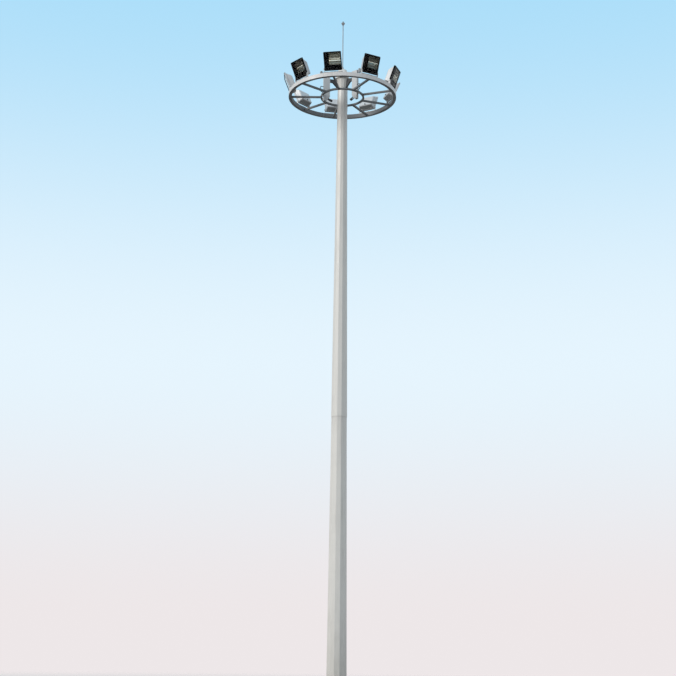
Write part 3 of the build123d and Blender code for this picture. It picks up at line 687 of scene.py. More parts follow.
class PaintShop:
    """Keeps one material for each finish."""

    def __init__(self) -> None:
        """Builds the shared groups."""
        self.groups = ShaderGroups()
        self.ready: dict[str, bpy.types.Material] = {}

    def get(self, finish: Finish) -> bpy.types.Material:
        """Gives a finish's material, which is built on the first call.

        Args:
            finish: which finish.

        Returns:
            Its material.
        """
        if finish.name not in self.ready:
            made = self.ready[finish.name] = bpy.data.materials.new(finish.name)
            finish.wire(Easel(empty_tree(made), self.groups))
        return self.ready[finish.name]


# Shapes


def shift(x: float, y: float = 0.0, z: float = 0.0) -> Matrix:
    """Gives a translation."""
    return Matrix.Translation((x, y, z))


def spin(degrees: float, axis: str = "Z") -> Matrix:
    """Gives a rotation about an axis."""
    return Matrix.Rotation(math.radians(degrees), 4, axis)


def towards(bearing: float) -> Matrix:
    """Gives the turn that carries a piece drawn along +X to a bearing from the near side."""
    return spin(bearing - 90.0)


def around(count: int, bearing: float) -> list[Matrix]:
    """Gives the turns of pieces that stand evenly round the mast, from a first bearing on."""
    return [towards(bearing + 360.0 / count * step) for step in range(count)]


def oblong(half_x: float, half_y: float) -> Outline:
    """Gives the corners of a rectangle about the origin."""
    return (half_x, half_y), (-half_x, half_y), (-half_x, -half_y), (half_x, -half_y)


@dataclass
class Solid:
    """Closed shapes as points and faces."""

    points: list[Vector] = field(default_factory=list)
    faces: list[tuple[int, ...]] = field(default_factory=list)

    def __add__(self, other: "Solid") -> "Solid":
        """Puts two shapes into one.

        Args:
            other: the second shape.

        Returns:
            Both shapes.
        """
        start = len(self.points)
        faces = [tuple(index + start for index in face) for face in other.faces]
        return Solid(self.points + other.points, self.faces + faces)

    def moved(self, *steps: Matrix) -> "Solid":
        """Moves the shape.

        Args:
            steps: matrices, the last one applied first.

        Returns:
            The moved copy.
        """
        whole = Matrix.Identity(4)
        for step in steps:
            whole = whole @ step
        return Solid([whole @ point for point in self.points], list(self.faces))

    def copies(self, places: Iterable[Sequence[Matrix]]) -> "Solid":
        """Puts a moved copy in each place into one shape."""
        return sum((self.moved(*steps) for steps in places), Solid())


def skin(rings: Runs, looped: bool = False) -> Solid:
    """Joins rings of points into a closed skin.

    Args:
        rings: rings with equal numbers of points; a single point is a pole.
        looped: whether the last ring joins the first, in place of caps.

    Returns:
        The shape.
    """
    points: list[Vector] = []
    marks: list[list[int]] = []
    for ring in rings:
        marks.append(list(range(len(points), len(points) + len(ring))))
        points.extend(ring)
    faces: list[tuple[int, ...]] = []
    pairs = list(zip(marks, marks[1:])) + ([(marks[-1], marks[0])] if looped else [])
    for low, high in pairs:
        count = max(len(low), len(high))
        for step in range(count):
            after = (step + 1) % count
            if len(low) == 1:
                faces.append((low[0], high[after], high[step]))
            elif len(high) == 1:
                faces.append((low[step], low[after], high[0]))
            else:
                faces.append((low[step], low[after], high[after], high[step]))
    if not looped:
        faces.extend(tuple(mark) for mark in (marks[0][::-1], marks[-1]) if len(mark) > 2)
    return Solid(points, faces)


def turned(profile: Outline, sides: int) -> Solid:
    """Turns a profile about Z.

    Args:
        profile: pairs of radius and height; a radius of zero is a pole.
        sides: corners of each ring.

    Returns:
        The shape.
    """
    rings = []
    for radius, height in profile:
        turns = [math.tau * step / sides for step in range(sides if radius else 1)]
        rings.append([Vector((radius * math.cos(t), radius * math.sin(t), height)) for t in turns])
    return skin(rings)


def slab(outline: Outline, thick: float, bevel: float) -> Solid:
    """Raises a convex outline into a plate with cut edges.

    Args:
        outline: corners in X and Y.
        thick: thickness.
        bevel: width of the cut edge.

    Returns:
        The shape, standing on its outline's plane.
    """
    centre = Vector((sum(x for x, _ in outline), sum(y for _, y in outline))) / len(outline)
    inner = 1.0 - bevel / max((Vector(corner) - centre).length for corner in outline)
    rings = []
    for height, scale in ((0.0, inner), (bevel, 1.0), (thick - bevel, 1.0), (thick, inner)):
        spots = [centre + (Vector(corner) - centre) * scale for corner in outline]
        rings.append([Vector((*spot, height)) for spot in spots])
    return skin(rings)


def rounded(width: float, height: float, radius: float, steps: int) -> Outline:
    """Gives the outline of a rectangle with rounded corners, centred on the origin.

    Args:
        width: along X.
        height: along Y.
        radius: of the corners.
        steps: edges of each corner.

    Returns:
        The outline's points.
    """
    spots = []
    for corner, (x, y) in enumerate(oblong(width / 2 - radius, height / 2 - radius)):
        for step in range(steps + 1):
            angle = math.radians(90.0 * corner + 90.0 * step / steps)
            spots.append((x + radius * math.cos(angle), y + radius * math.sin(angle)))
    return spots


@dataclass(frozen=True)
class HexHead:
    """Bolt head or nut on its washer."""

    radius: float
    height: float
    washer: float = 1.45
    shank: float = 0.0

    def solid(self) -> Solid:
        """Makes the shape, standing on the origin.

        Returns:
            Washer, head and the thread's end.
        """
        wide = self.radius * self.washer
        lip = 0.16 * self.height
        top = lip + self.height
        washer = turned([(wide, 0.0), (wide, lip * 0.8), (wide * 0.96, lip)], 20)
        whole = washer + turned([(self.radius, lip), (self.radius, lip + self.height * 0.84),
                                 (self.radius * 0.86, top)], 6)
        if self.shank:
            rod, end = self.radius * 0.55, top + self.shank
            whole += turned([(rod, lip), (rod, end - rod * 0.2), (rod * 0.8, end)], 14)
        return whole


@dataclass(frozen=True)
class Plate:
    """Thin plate with rounded corners and cut edges."""

    width: float
    height: float
    corner: float
    thick: float
    bevel: float
    steps: int = 2

    def solid(self) -> Solid:
        """Makes the shape, standing on its underside's centre."""
        outline = rounded(self.width, self.height, self.corner, self.steps)
        return slab(outline, self.thick, self.bevel)


def solid_mesh(name: str, shape: Solid) -> bpy.types.Mesh:
    """Makes a mesh of a closed shape, with its faces outward.

    Args:
        name: the mesh's name.
        shape: the shape.

    Returns:
        The mesh.
    """
    made = bpy.data.meshes.new(name)
    made.from_pydata([tuple(point) for point in shape.points], [], shape.faces)
    work = bmesh.new()
    work.from_mesh(made)
    bmesh.ops.recalc_face_normals(work, faces=work.faces)
    work.to_mesh(made)
    work.free()
    return made


def path_mesh(name: str, runs: Runs, closed: bool = False) -> bpy.types.Mesh:
    """Makes a mesh of edges only, for the trees that follow a path.

    Args:
        name: the mesh's name.
        runs: points of each run.
        closed: whether each run ends where it starts.

    Returns:
        The mesh.
    """
    points: list[tuple[float, ...]] = []
    edges: list[tuple[int, int]] = []
    for run in runs:
        first = len(points)
        points.extend(tuple(point) for point in run)
        edges.extend((index, index + 1) for index in range(first, len(points) - 1))
        if closed:
            edges.append((len(points) - 1, first))
    made = bpy.data.meshes.new(name)
    made.from_pydata(points, edges, [])
    return made


def stand(name: str, data: bpy.types.ID) -> bpy.types.Object:
    """Puts an object into the scene.

    Args:
        name: its name.
        data: its mesh, lamp or camera.

    Returns:
        The object.
    """
    made = bpy.data.objects.new(name, data)
    bpy.context.scene.collection.objects.link(made)
    return made


def modified(mesh: bpy.types.Mesh, kind: str,
             prepare: Callable[[bpy.types.Modifier], None]) -> bpy.types.Mesh:
    """Runs a mesh through one modifier.

    Args:
        mesh: what goes in; it is used up.
        kind: the modifier's type.
        prepare: sets the modifier up.

    Returns:
        The plain mesh that comes out.
    """
    host = stand("host", mesh)
    modifier = host.modifiers.new("step", kind)
    prepare(modifier)
    graph = bpy.context.evaluated_depsgraph_get()
    graph.update()
    result = bpy.data.meshes.new_from_object(host.evaluated_get(graph), depsgraph=graph)
    host.modifiers.remove(modifier)
    bpy.data.objects.remove(host)
    bpy.data.meshes.remove(mesh)
    return result


# Geometry Nodes


class Pattern(Enum):
    """Node trees that repeat a shape or follow a path."""

    RING = "ring_of_copies"
    BEAD = "weld_bead"
    ROPE = "laid_rope"


class PatternTree(Group):
    """Geometry tree that takes a shape, sizes and a material."""

    def __init__(self, pattern: Pattern, sizes: dict[str, float]) -> None:
        """Starts the tree.

        Args:
            pattern: what it does.
            sizes: its named sizes with their starting values.
        """
        inputs = {"Shape": "NodeSocketGeometry", **sizes, "Material": "NodeSocketMaterial"}
        super().__init__(pattern.value, inputs, ("Result",), "GeometryNodeTree",
                         "NodeSocketGeometry")

    def trail(self, step: str) -> bpy.types.Node:
        """Turns the shape's edges into curves with points at an even step.

        Args:
            step: name of the input that holds the step.

        Returns:
            The node that gives the curves.
        """
        path = self.node("GeometryNodeMeshToCurve", {"Mesh": self.given["Shape"]})
        feeds = {"Curve": path, "Length": self.given[step]}
        return self.node("GeometryNodeResampleCurve", feeds, mode="LENGTH")

    def bar(self, path: bpy.types.Node, radius: Any) -> bpy.types.Node:
        """Draws a six-sided bar with closed ends along curves.

        Args:
            path: node that gives the curves.
            radius: the bar's radius.

        Returns:
            The node that gives the bar.
        """
        ring = self.node("GeometryNodeCurvePrimitiveCircle", {"Resolution": 6, "Radius": radius})
        feeds = {"Curve": path, "Profile Curve": ring, "Fill Caps": True}
        return self.node("GeometryNodeCurveToMesh", feeds)

    def scaled(self, vector: Any, factor: Any) -> bpy.types.NodeSocket:
        """Multiplies a vector by a number."""
        feeds = {0: vector, "Scale": factor}
        return self.node("ShaderNodeVectorMath", feeds, operation="SCALE").outputs[0]

    def end(self, shape: bpy.types.Node) -> bpy.types.NodeTree:
        """Ends the tree in Realize Instances and Set Material.

        Args:
            shape: what comes out.

        Returns:
            The tree.
        """
        real = self.node("GeometryNodeRealizeInstances", {"Geometry": shape})
        feeds = {"Geometry": real, "Material": self.given["Material"]}
        return self.give(Result=self.node("GeometryNodeSetMaterial", feeds))


class PatternTrees:
    """Builds each tree once and runs it on shapes."""

    def __init__(self) -> None:
        """Builds the trees."""
        self.trees = {Pattern.RING: self._ring(), Pattern.BEAD: self._bead(),
                      Pattern.ROPE: self._rope()}

    @staticmethod
    def _ring() -> bpy.types.NodeTree:
        """Copies a shape that is drawn along +X round the Z axis.

        Returns:
            The tree.
        """
        tree = PatternTree(Pattern.RING, {"Count": 3, "First Angle": 0.0, "Radius": 0.0})
        away = tree.node("ShaderNodeCombineXYZ", {"X": tree.given["Radius"]})
        shape = tree.node("GeometryNodeTransform",
                          {"Geometry": tree.given["Shape"], "Translation": away})
        points = tree.node("GeometryNodeMeshLine",
                           {"Count": tree.given["Count"], "Offset": (0.0, 0.0, 0.0)})
        step = tree.maths("DIVIDE", math.tau, tree.given["Count"])
        turn = tree.maths("MULTIPLY_ADD", tree.node("GeometryNodeInputIndex"), step,
                          tree.given["First Angle"])
        turn = tree.node("ShaderNodeCombineXYZ", {"Z": turn})
        return tree.end(tree.node("GeometryNodeInstanceOnPoints",
                                  {"Points": points, "Instance": shape, "Rotation": turn}))

    @staticmethod
    def _bead() -> bpy.types.NodeTree:
        """Lays a rippled weld bead along the edges of the shape.

        Returns:
            The tree.
        """
        tree = PatternTree(Pattern.BEAD, {"Bead Radius": 0.004, "Ripple": 0.006, "Swell": 0.16})
        odd = tree.maths("MODULO", tree.node("GeometryNodeInputIndex"), 2.0)
        size = tree.maths("MULTIPLY_ADD", odd, tree.given["Swell"], 1.0)
        path = tree.node("GeometryNodeSetCurveRadius",
                         {"Curve": tree.trail("Ripple"), "Radius": size})
        return tree.end(tree.bar(path, tree.given["Bead Radius"]))

    @staticmethod
    def _rope() -> bpy.types.NodeTree:
        """Lays strands in a helix about the path.

        Returns:
            The tree.
        """
        sizes = {"Rope Radius": ROPE_R, "Strands": 6, "Lay": 0.062, "Step": 0.0045}
        tree = PatternTree(Pattern.ROPE, sizes)
        path = tree.trail("Step")
        many = tree.node("GeometryNodeDuplicateElements",
                         {"Geometry": path, "Amount": tree.given["Strands"]}, domain="SPLINE")
        along = tree.node("GeometryNodeSplineParameter").outputs["Length"]
        share = tree.maths("DIVIDE", many.outputs["Duplicate Index"], tree.given["Strands"])
        turn = tree.maths("ADD", tree.maths("DIVIDE", along, tree.given["Lay"]), share)
        turn = tree.maths("MULTIPLY", turn, math.tau)
        normal = tree.node("GeometryNodeInputNormal").outputs[0]
        tangent = tree.node("GeometryNodeInputTangent")
        side = tree.node("ShaderNodeVectorMath", {0: tangent, 1: normal},
                         operation="CROSS_PRODUCT").outputs[0]
        ways = {0: tree.scaled(normal, tree.maths("COSINE", turn)),
                1: tree.scaled(side, tree.maths("SINE", turn))}
        off = tree.node("ShaderNodeVectorMath", ways, operation="ADD").outputs[0]
        off = tree.scaled(off, tree.maths("MULTIPLY", tree.given["Rope Radius"], 0.64))
        strands = tree.node("GeometryNodeSetPosition", {"Geometry": many, "Offset": off})
        core = tree.maths("MULTIPLY", tree.given["Rope Radius"], 0.35)
        both = tree.node("GeometryNodeJoinGeometry", {"Geometry": tree.bar(strands, core)})
        tree.feed(both.inputs["Geometry"], tree.bar(path, core))
        return tree.end(both)

    def run(self, pattern: Pattern, mesh: bpy.types.Mesh, material: bpy.types.Material,
            sizes: dict[str, float]) -> bpy.types.Mesh:
        """Runs a tree on a mesh.

        Args:
            pattern: which tree.
            mesh: what goes in; it is used up.
            material: what the result wears.
            sizes: the tree's named sizes.

        Returns:
            The plain mesh that comes out.
        """
        tree = self.trees[pattern]
        sockets = {item.name: item.identifier for item in tree.interface.items_tree
                   if item.in_out == "INPUT"}

        def prepare(modifier: bpy.types.Modifier) -> None:
            """Hands the tree, the material and the sizes to the modifier.

            Args:
                modifier: runs the tree.
            """
            modifier.node_group = tree
            for label, value in {"Material": material, **sizes}.items():
                modifier[sockets[label]] = value

        return modified(mesh, "NODES", prepare)


# Sub-assemblies


@dataclass
class Workshop:
    """What the sub-assemblies share."""

    paint: PaintShop = field(default_factory=PaintShop)
    trees: PatternTrees = field(default_factory=PatternTrees)


@dataclass
class Assembly:
    """Sub-assembly whose pieces ride on one body."""

    shop: Workshop
    body: str = Body.MAST.value

    def add(self, name: str, mesh: bpy.types.Mesh, finish: Finish,
            instead_of: Sequence[str] = (), hangs: bool = False) -> bpy.types.Object:
        """Makes a finished piece of a mesh.

        Args:
            name: the piece's name.
            mesh: its mesh, in place.
            finish: what it wears.
            instead_of: CAD nodes that it replaces.
            hangs: whether it stretches between the sheaves and the carriage.

        Returns:
            The piece.
        """
        mesh.name = name
        mesh.materials.clear()
        mesh.materials.append(self.shop.paint.get(finish))
        for polygon in mesh.polygons:
            polygon.use_smooth = True
        made = stand(name, mesh)
        if hangs:
            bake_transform(made)
        else:
            mesh.set_sharp_from_angle(angle=SMOOTH_ANGLE)
            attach(made, self.body)
        if instead_of:
            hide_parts(*instead_of)
        LOG.info("%s: %d faces, %s", name, len(mesh.polygons), "hangs" if hangs else self.body)
        return made

    def solid(self, name: str, shape: Solid, finish: Finish) -> bpy.types.Object:
        """Makes a finished piece of a shape."""
        return self.add(name, solid_mesh(name, shape), finish)

    def repeat(self, name: str, shape: Solid, finish: Finish, count: int, bearing: float,
               radius: float = 0.0) -> bpy.types.Object:
        """Repeats a shape that is drawn along +X round the mast.

        Args:
            name: the piece's name.
            shape: the shape to repeat.
            finish: what it wears.
            count: number of copies.
            bearing: bearing of the first copy.
            radius: how far each copy moves out.

        Returns:
            The piece.
        """
        sizes = {"Count": count, "First Angle": math.radians(bearing - 90.0), "Radius": radius}
        mesh = self.shop.trees.run(Pattern.RING, solid_mesh(name, shape),
                                   self.shop.paint.get(finish), sizes)
        return self.add(name, mesh, finish)

    def bead(self, name: str, runs: Runs, radius: float, finish: Finish,
             closed: bool = False) -> bpy.types.Object:
        """Lays weld beads along runs of points.

        Args:
            name: the piece's name.
            runs: points of each run.
            radius: of the bead.
            finish: what it wears.
            closed: whether each run is a loop.

        Returns:
            The piece.
        """
        mesh = self.shop.trees.run(Pattern.BEAD, path_mesh(name, runs, closed),
                                   self.shop.paint.get(finish),
                                   {"Bead Radius": radius, "Ripple": radius * 1.6})
        return self.add(name, mesh, finish)

    def dress(self, finish: Finish, *nodes: str) -> None:
        """Gives CAD nodes a finish.

        Args:
            finish: what they wear.
            nodes: the nodes' names.
        """
        for node in nodes:
            mesh = frame["nodes"][node].data
            mesh.materials.clear()
            mesh.materials.append(self.shop.paint.get(finish))

    def patch(self, finish: Finish, node: str, inside: Callable[[Vector], bool]) -> None:
        """Gives part of a CAD node another finish, face by face.

        Args:
            finish: what the part wears.
            node: the node's name.
            inside: test of a face's centre that is true on the part.
        """
        mesh = frame["nodes"][node].data
        mesh.materials.append(self.shop.paint.get(finish))
        for polygon in mesh.polygons:
            if inside(polygon.center):
                polygon.material_index = len(mesh.materials) - 1


def shaft_flats(z: float) -> float:
    """Gives the width across flats of the lower section's outside at a height."""
    return BASE_FLATS - SHAFT_TAPER * z


def sleeve_flats(z: float) -> float:
    """Gives the width across flats of the upper section's outside at a height."""
    return shaft_flats(z) + SLEEVE_STEP


def twelve_corners(flats: float, z: float) -> list[Vector]:
    """Gives the corners of the shaft's outline at a height.

    Args:
        flats: width across flats.
        z: the height.

    Returns:
        The corners, in order.
    """
    reach, first = flats / 2 * CORNER, FACET_BEARING - 90.0 + 180.0 / SIDES
    return [Vector((reach * math.cos(turn), reach * math.sin(turn), z))
            for turn in (math.radians(first + 360.0 / SIDES * step) for step in range(SIDES))]


@dataclass
class Mast(Assembly):
    """Shaft, base and door, with their welds and fasteners."""

    bolt_circle: float = 0.300
    bolt_count: int = 12
    anchor_nut: HexHead = HexHead(0.026, 0.024, 1.2, 0.022)
    lock_nut: HexHead = HexHead(0.026, 0.012, 1.2)
    plate_top: float = 0.025
    gusset_half: float = 0.006
    gusset_reach: float = 0.100
    gusset_top: float = 0.245
    gusset_bead: float = 0.0042
    bead_off: float = 0.0015
    foot_off: float = 0.002
    foot_bead: float = 0.0050
    seam_bead: float = 0.0030
    seam_sink: float = 0.0012
    seam_bearing: float = 136.0
    seam_low: float = 0.25
    seam_gap: float = 0.01
    door_bearing: float = 181.0
    door_width: float = 0.220
    door_height: float = 0.900
    door_sill: float = 0.500
    door_corner: float = 0.060
    door_out: float = 0.2364
    door_lock_out: float = 0.0138
    seal_bead: float = 0.0026
    seal_off: float = 0.006
    seal_sink: float = 0.0008
    lock_inset: float = 0.150
    key: Outline = ((0.0072, 0.0), (0.0072, 0.0012), (0.0062, 0.0022))
    key_cap: Outline = ((0.0118, 0.0), (0.0118, 0.0008), (0.0112, 0.0012))

    def build(self) -> None:
        """Makes and dresses the mast's pieces."""
        self.dress(MAST_PAINT, "base_plate", "base_gussets", "lower_section", "door_frame",
                   "access_door", "upper_section")
        self.anchor_nuts()
        self.gusset_welds()
        self.shaft_welds()
        self.door_fittings()

    def anchor_nuts(self) -> None:
        """Nuts, washers and stud ends on the base plate."""
        nut = self.anchor_nut.solid() + self.lock_nut.solid()
        self.repeat("anchor_nuts", nut.moved(shift(0.0, 0.0, self.plate_top)), ZINC,
                    self.bolt_count, FACET_BEARING + 180.0 / self.bolt_count, self.bolt_circle)

    def gusset_welds(self) -> None:
        """Beads on both sides of each gusset and round the foot of the shaft."""
        runs = []
        low_x = shaft_flats(self.plate_top) / 2
        high_x = shaft_flats(self.gusset_top) / 2
        off, floor = self.bead_off, self.plate_top
        upright = ((high_x + off, self.gusset_top), (low_x + off, floor + self.foot_off))
        flat = ((low_x + 2.0 * off, floor + off), (low_x + self.gusset_reach, floor + off))
        for turn in around(SIDES, FACET_BEARING):
            for side in BOTH_SIDES:
                y = side * (self.gusset_half + off)
                runs.extend([turn @ Vector((x, y, z)) for x, z in run] for run in (upright, flat))
        self.bead("gusset_welds", runs, self.gusset_bead, MAST_PAINT)
        foot = twelve_corners(shaft_flats(floor) + 2.0 * self.foot_off, floor + self.foot_off)
        self.bead("foot_weld", [foot], self.foot_bead, MAST_PAINT, closed=True)

    def shaft_welds(self) -> None:
        """Long seam of each folded section."""
        turn = towards(self.seam_bearing)
        runs = []
        for low, high, flats in ((self.seam_low, SLIP_EDGE_Z - self.seam_gap, shaft_flats),
                                 (SLIP_EDGE_Z + self.seam_gap, SHAFT_TOP_Z - self.seam_gap,
                                  sleeve_flats)):
            runs.append([turn @ Vector((flats(z) / 2 * CORNER - self.seam_sink, 0.0, z))
                         for z in (low, high)])
        self.bead("shaft_seams", runs, self.seam_bead, MAST_PAINT)

    def door_fittings(self) -> None:
        """Seal under the door cover, and the key inserts of its locks."""
        turn = towards(self.door_bearing)
        off = self.seal_off
        outline = rounded(self.door_width + 2 * off, self.door_height + 2 * off,
                          self.door_corner + off, 8)
        middle = self.door_sill + self.door_height / 2
        ring = [turn @ Vector((self.door_out - self.seal_sink, y, middle + z)) for y, z in outline]
        self.bead("door_seal", [ring], self.seal_bead, RUBBER, closed=True)
        key = (turned(self.key, 3) + turned(self.key_cap, 24)).moved(spin(90.0, "Y"))
        reach = self.door_height / 2 - self.lock_inset
        face = self.door_out + self.door_lock_out
        keys = key.copies((turn, shift(face, 0.0, middle + side * reach)) for side in BOTH_SIDES)
        self.solid("door_key_inserts", keys, BOLT_STEEL)


@dataclass
class MastHead(Assembly):
    """Flare, arms, sheaves, hood, rod and ropes."""

    flare_bead: float = 0.0045
    flare_off: float = 0.002
    hood_lip_radius: float = 0.163
    hood_screw_rise: float = 0.012
    hood_screws: int = 8
    hood_screw_bearing: float = 102.0
    hood_screw: Outline = ((0.0085, 0.0), (0.0085, 0.0025), (0.0065, 0.0045), (0.0, 0.0050))
    rod_flange: Outline = ((0.050, 0.0), (0.050, 0.004), (0.048, 0.006), (0.0245, 0.006),
                           (0.0245, 0.0))
    flange_top: float = 0.006
    flange_sink: float = 0.001
    flange_bolt: HexHead = HexHead(0.0065, 0.005)
    flange_bolts: int = 4
    flange_circle: float = 0.038
    arm_bead: float = 0.0030
    arm_sides: tuple[float, ...] = (-0.0190, -0.0080, 0.0080, 0.0190)
    arm_clear: float = 1.006
    arm_low_z: float = 14.402
    arm_high_z: float = 14.600
    rope_start: float = 0.108
    arc_steps: int = 14

    def build(self) -> None:
        """Makes and dresses the head's pieces."""
        self.dress(MAST_PAINT, "head_flare", "head_plate", "hood")
        self.dress(DARK_STEEL, "head_arms", "head_sheaves")
        self.dress(BOLT_STEEL, "sheave_pins")
        self.dress(ROD_ZINC, "lightning_rod", "rod_finial")
        self.flare_welds()
        self.hood_fasteners()
        self.arm_welds()
        self.ropes()

    def flare_welds(self) -> None:
        """Beads at both ends of the flare."""
        loops = [twelve_corners(sleeve_flats(SHAFT_TOP_Z) + self.flare_off, SHAFT_TOP_Z),
                 twelve_corners(HEAD_FLATS, HEAD_Z - self.flare_off)]
        self.bead("flare_welds", loops, self.flare_bead, MAST_PAINT, closed=True)

    def hood_fasteners(self) -> None:
        """Screws round the hood's lip, and the flange with its bolts under the rod."""
        stand_out = shift(self.hood_lip_radius, 0.0, PLATE_TOP_Z + self.hood_screw_rise)
        screw = turned(self.hood_screw, 16).moved(stand_out, spin(90.0, "Y"))
        self.repeat("hood_screws", screw, BOLT_STEEL, self.hood_screws, self.hood_screw_bearing)
        seat = shift(self.flange_circle, 0.0, self.flange_top)
        turns = [spin(360.0 / self.flange_bolts * (step + 0.5))
                 for step in range(self.flange_bolts)]
        bolts = self.flange_bolt.solid().copies((turn, seat) for turn in turns)
        flange = turned(self.rod_flange, 32) + bolts
        self.solid("rod_flange", flange.moved(shift(0.0, 0.0, HOOD_TOP_Z - self.flange_sink)), ZINC)

    def arm_welds(self) -> None:
        """Beads where the arm plates meet the flare."""
        low = sleeve_flats(SHAFT_TOP_Z) / 2 * self.arm_clear
        share = (self.arm_high_z - SHAFT_TOP_Z) / (HEAD_Z - SHAFT_TOP_Z)
        high = low + (HEAD_FLATS / 2 - low) * share
        line = ((low, self.arm_low_z), (low, SHAFT_TOP_Z), (high, self.arm_high_z))
        runs = [[turn @ Vector((x, y, z)) for x, z in line]
                for turn in around(ARM_COUNT, ARM_BEARING) for y in self.arm_sides]
        self.bead("arm_welds", runs, self.arm_bead, MAST_PAINT)

    def ropes(self) -> None:
        """Stranded ropes over the sheaves, and their falls to the carriage."""
        centre = ROPE_RADIUS - SHEAVE_GROOVE_R
        over = [(self.rope_start, SHEAVE_Z + SHEAVE_GROOVE_R)]
        for step in range(self.arc_steps + 1):
            angle = math.pi / 2 * (1.0 - step / self.arc_steps)
            over.append((centre + SHEAVE_GROOVE_R * math.cos(angle),
                         SHEAVE_Z + SHEAVE_GROOVE_R * math.sin(angle)))
        fall = [(ROPE_RADIUS, SHEAVE_Z), (ROPE_RADIUS, ROPE_FOOT_Z)]
        for name, line, node in (("head_rope_strands", over, "head_ropes"),
                                 ("rope_falls", fall, "hoist_ropes")):
            runs = [[turn @ Vector((x, 0.0, z)) for x, z in line]
                    for turn in around(ARM_COUNT, ARM_BEARING)]
            mesh = self.shop.trees.run(Pattern.ROPE, path_mesh(name, runs),
                                       self.shop.paint.get(ROPE_STEEL), {"Rope Radius": ROPE_R})
            self.add(name, mesh, ROPE_STEEL, (node,), hangs=node == "hoist_ropes")


@dataclass
class RingCarriage(Assembly):
    """Rings, spokes, guides, latch boxes, feet and yokes."""

    body: str = Body.CARRIAGE.value
    bead_off: float = 0.001
    shade_radius: float = RING_INNER_R + 0.02
    shade_top_z: float = RING_Z + 0.002
    spoke_half: float = 0.020
    spoke_ends: tuple[float, ...] = (INNER_RING_R + 0.0005, RING_INNER_R - 0.0012)
    spoke_bead: float = 0.0034
    ring_half: float = 0.036
    ring_rise: float = 0.045
    ring_seams: int = 3
    seam_bearing: float = LAMP_BEARING + 12.0
    seam_bead: float = 0.0022
    seam_sink: float = 0.0006
    foot_half_length: float = 0.060
    foot_half_width: float = 0.030
    foot_bead: float = 0.0032
    yoke_bolt: HexHead = HexHead(0.0095, 0.0075, 1.35, 0.006)
    yoke_bolt_off: float = 0.036
    strap_bolt: HexHead = HexHead(0.0090, 0.0070, 1.35, 0.005)
    strap_radius: float = 0.487
    strap_bolt_off: float = 0.019
    strap_thick: float = 0.006
    guide_out: float = 0.4662
    box_low_z: float = 14.60
    conduit_z: tuple[float, float] = (14.2265, 14.5)
    latch_face: float = 0.546
    latch_centre_z: float = 14.722
    lid: Plate = Plate(0.046, 0.080, 0.005, 0.0016, 0.0006, 4)
    lid_screw: Outline = ((0.0030, 0.0), (0.0030, 0.0010), (0.0020, 0.0016), (0.0, 0.0018))
    ferrule: Outline = ((0.0068, 0.0), (0.0068, 0.040), (0.0056, 0.046))
    ferrule_nut: HexHead = HexHead(0.0125, 0.009, 1.1)
    ferrule_sink: float = 0.0015
    roller_hub: Outline = ((0.0105, 0.0), (0.0105, 0.0012), (0.0095, 0.0020), (0.0055, 0.0020),
                           (0.0055, 0.0))
    roller_radius: float = 0.265
    roller_half: float = 0.0192
    roller_z: float = 14.070

    def build(self) -> None:
        """Makes and dresses the carriage's pieces."""
        self.dress(RING_PAINT, "outer_ring")
        # Painted shade on the inner ring and the spokes.
        self.dress(RING_SHADE, "inner_ring", "spokes")
        self.dress(GUIDE_PAINT, "latch_guides")
        self.dress(DARK_STEEL, "steady_arms", "lamp_feet")
        self.dress(RUBBER, "steady_rollers")
        self.dress(YOKE_PAINT, "lamp_yokes")
        # Painted shade on the outer ring's underside and inner side.
        self.patch(RING_SHADE, "outer_ring", self.in_ring_shade)
        self.patch(LATCH_PAINT, "latch_guides", self.on_latch_box)
        self.patch(CONDUIT, "latch_guides", self.on_conduit)
        self.ring_welds()
        self.foot_fasteners()
        self.guide_fasteners()
        self.rope_ends()
        self.roller_hubs()

    def in_ring_shade(self, spot: Vector) -> bool:
        """Tells whether a face of the outer ring gets painted shade: its underside or its inner
        side.
        """
        return math.hypot(spot.x, spot.y) < self.shade_radius or spot.z < self.shade_top_z

    def on_latch_box(self, spot: Vector) -> bool:
        """Tells whether a face belongs to a latch box or its bracket."""
        return math.hypot(spot.x, spot.y) > self.guide_out and spot.z > self.box_low_z

    def on_conduit(self, spot: Vector) -> bool:
        """Tells whether a face belongs to a conduit loop."""
        low, high = self.conduit_z
        return math.hypot(spot.x, spot.y) > self.guide_out and low < spot.z < high

    def ring_welds(self) -> None:
        """Beads at both ends of each spoke, and the butt seams of the rings."""
        half = self.spoke_half + self.bead_off
        loops = [[turn @ Vector((radius, y, RING_Z + self.spoke_half + z))
                  for y, z in oblong(half, half)]
                 for turn in around(LAMP_COUNT, LAMP_BEARING) for radius in self.spoke_ends]
        # The spoke welds wear the painted shade as well.
        self.bead("spoke_welds", loops, self.spoke_bead, RING_SHADE, closed=True)
        section = oblong(self.ring_half - self.seam_sink, self.ring_rise - self.seam_sink)
        seams = [[turn @ Vector((RING_CENTRE_R + x, 0.0, RING_Z + self.ring_rise + z))
                  for x, z in section] for turn in around(self.ring_seams, self.seam_bearing)]
        self.bead("ring_seams", seams, self.seam_bead, RING_PAINT, closed=True)

    def foot_fasteners(self) -> None:
        """Bolts that hold the yokes on their feet, and the feet's welds."""
        pair = self.yoke_bolt.solid().copies((shift(0.0, side * self.yoke_bolt_off, YOKE_FLOOR_Z),)
                                             for side in BOTH_SIDES)
        self.repeat("yoke_bolts", pair, BOLT_STEEL, LAMP_COUNT, LAMP_BEARING, RING_CENTRE_R)
        off = self.bead_off
        outline = oblong(self.foot_half_width + off, self.foot_half_length + off)
        loops = [[turn @ Vector((RING_CENTRE_R + x, y, RING_TOP_Z + off)) for x, y in outline]
                 for turn in around(LAMP_COUNT, LAMP_BEARING)]
        self.bead("foot_welds", loops, self.foot_bead, RING_PAINT, closed=True)

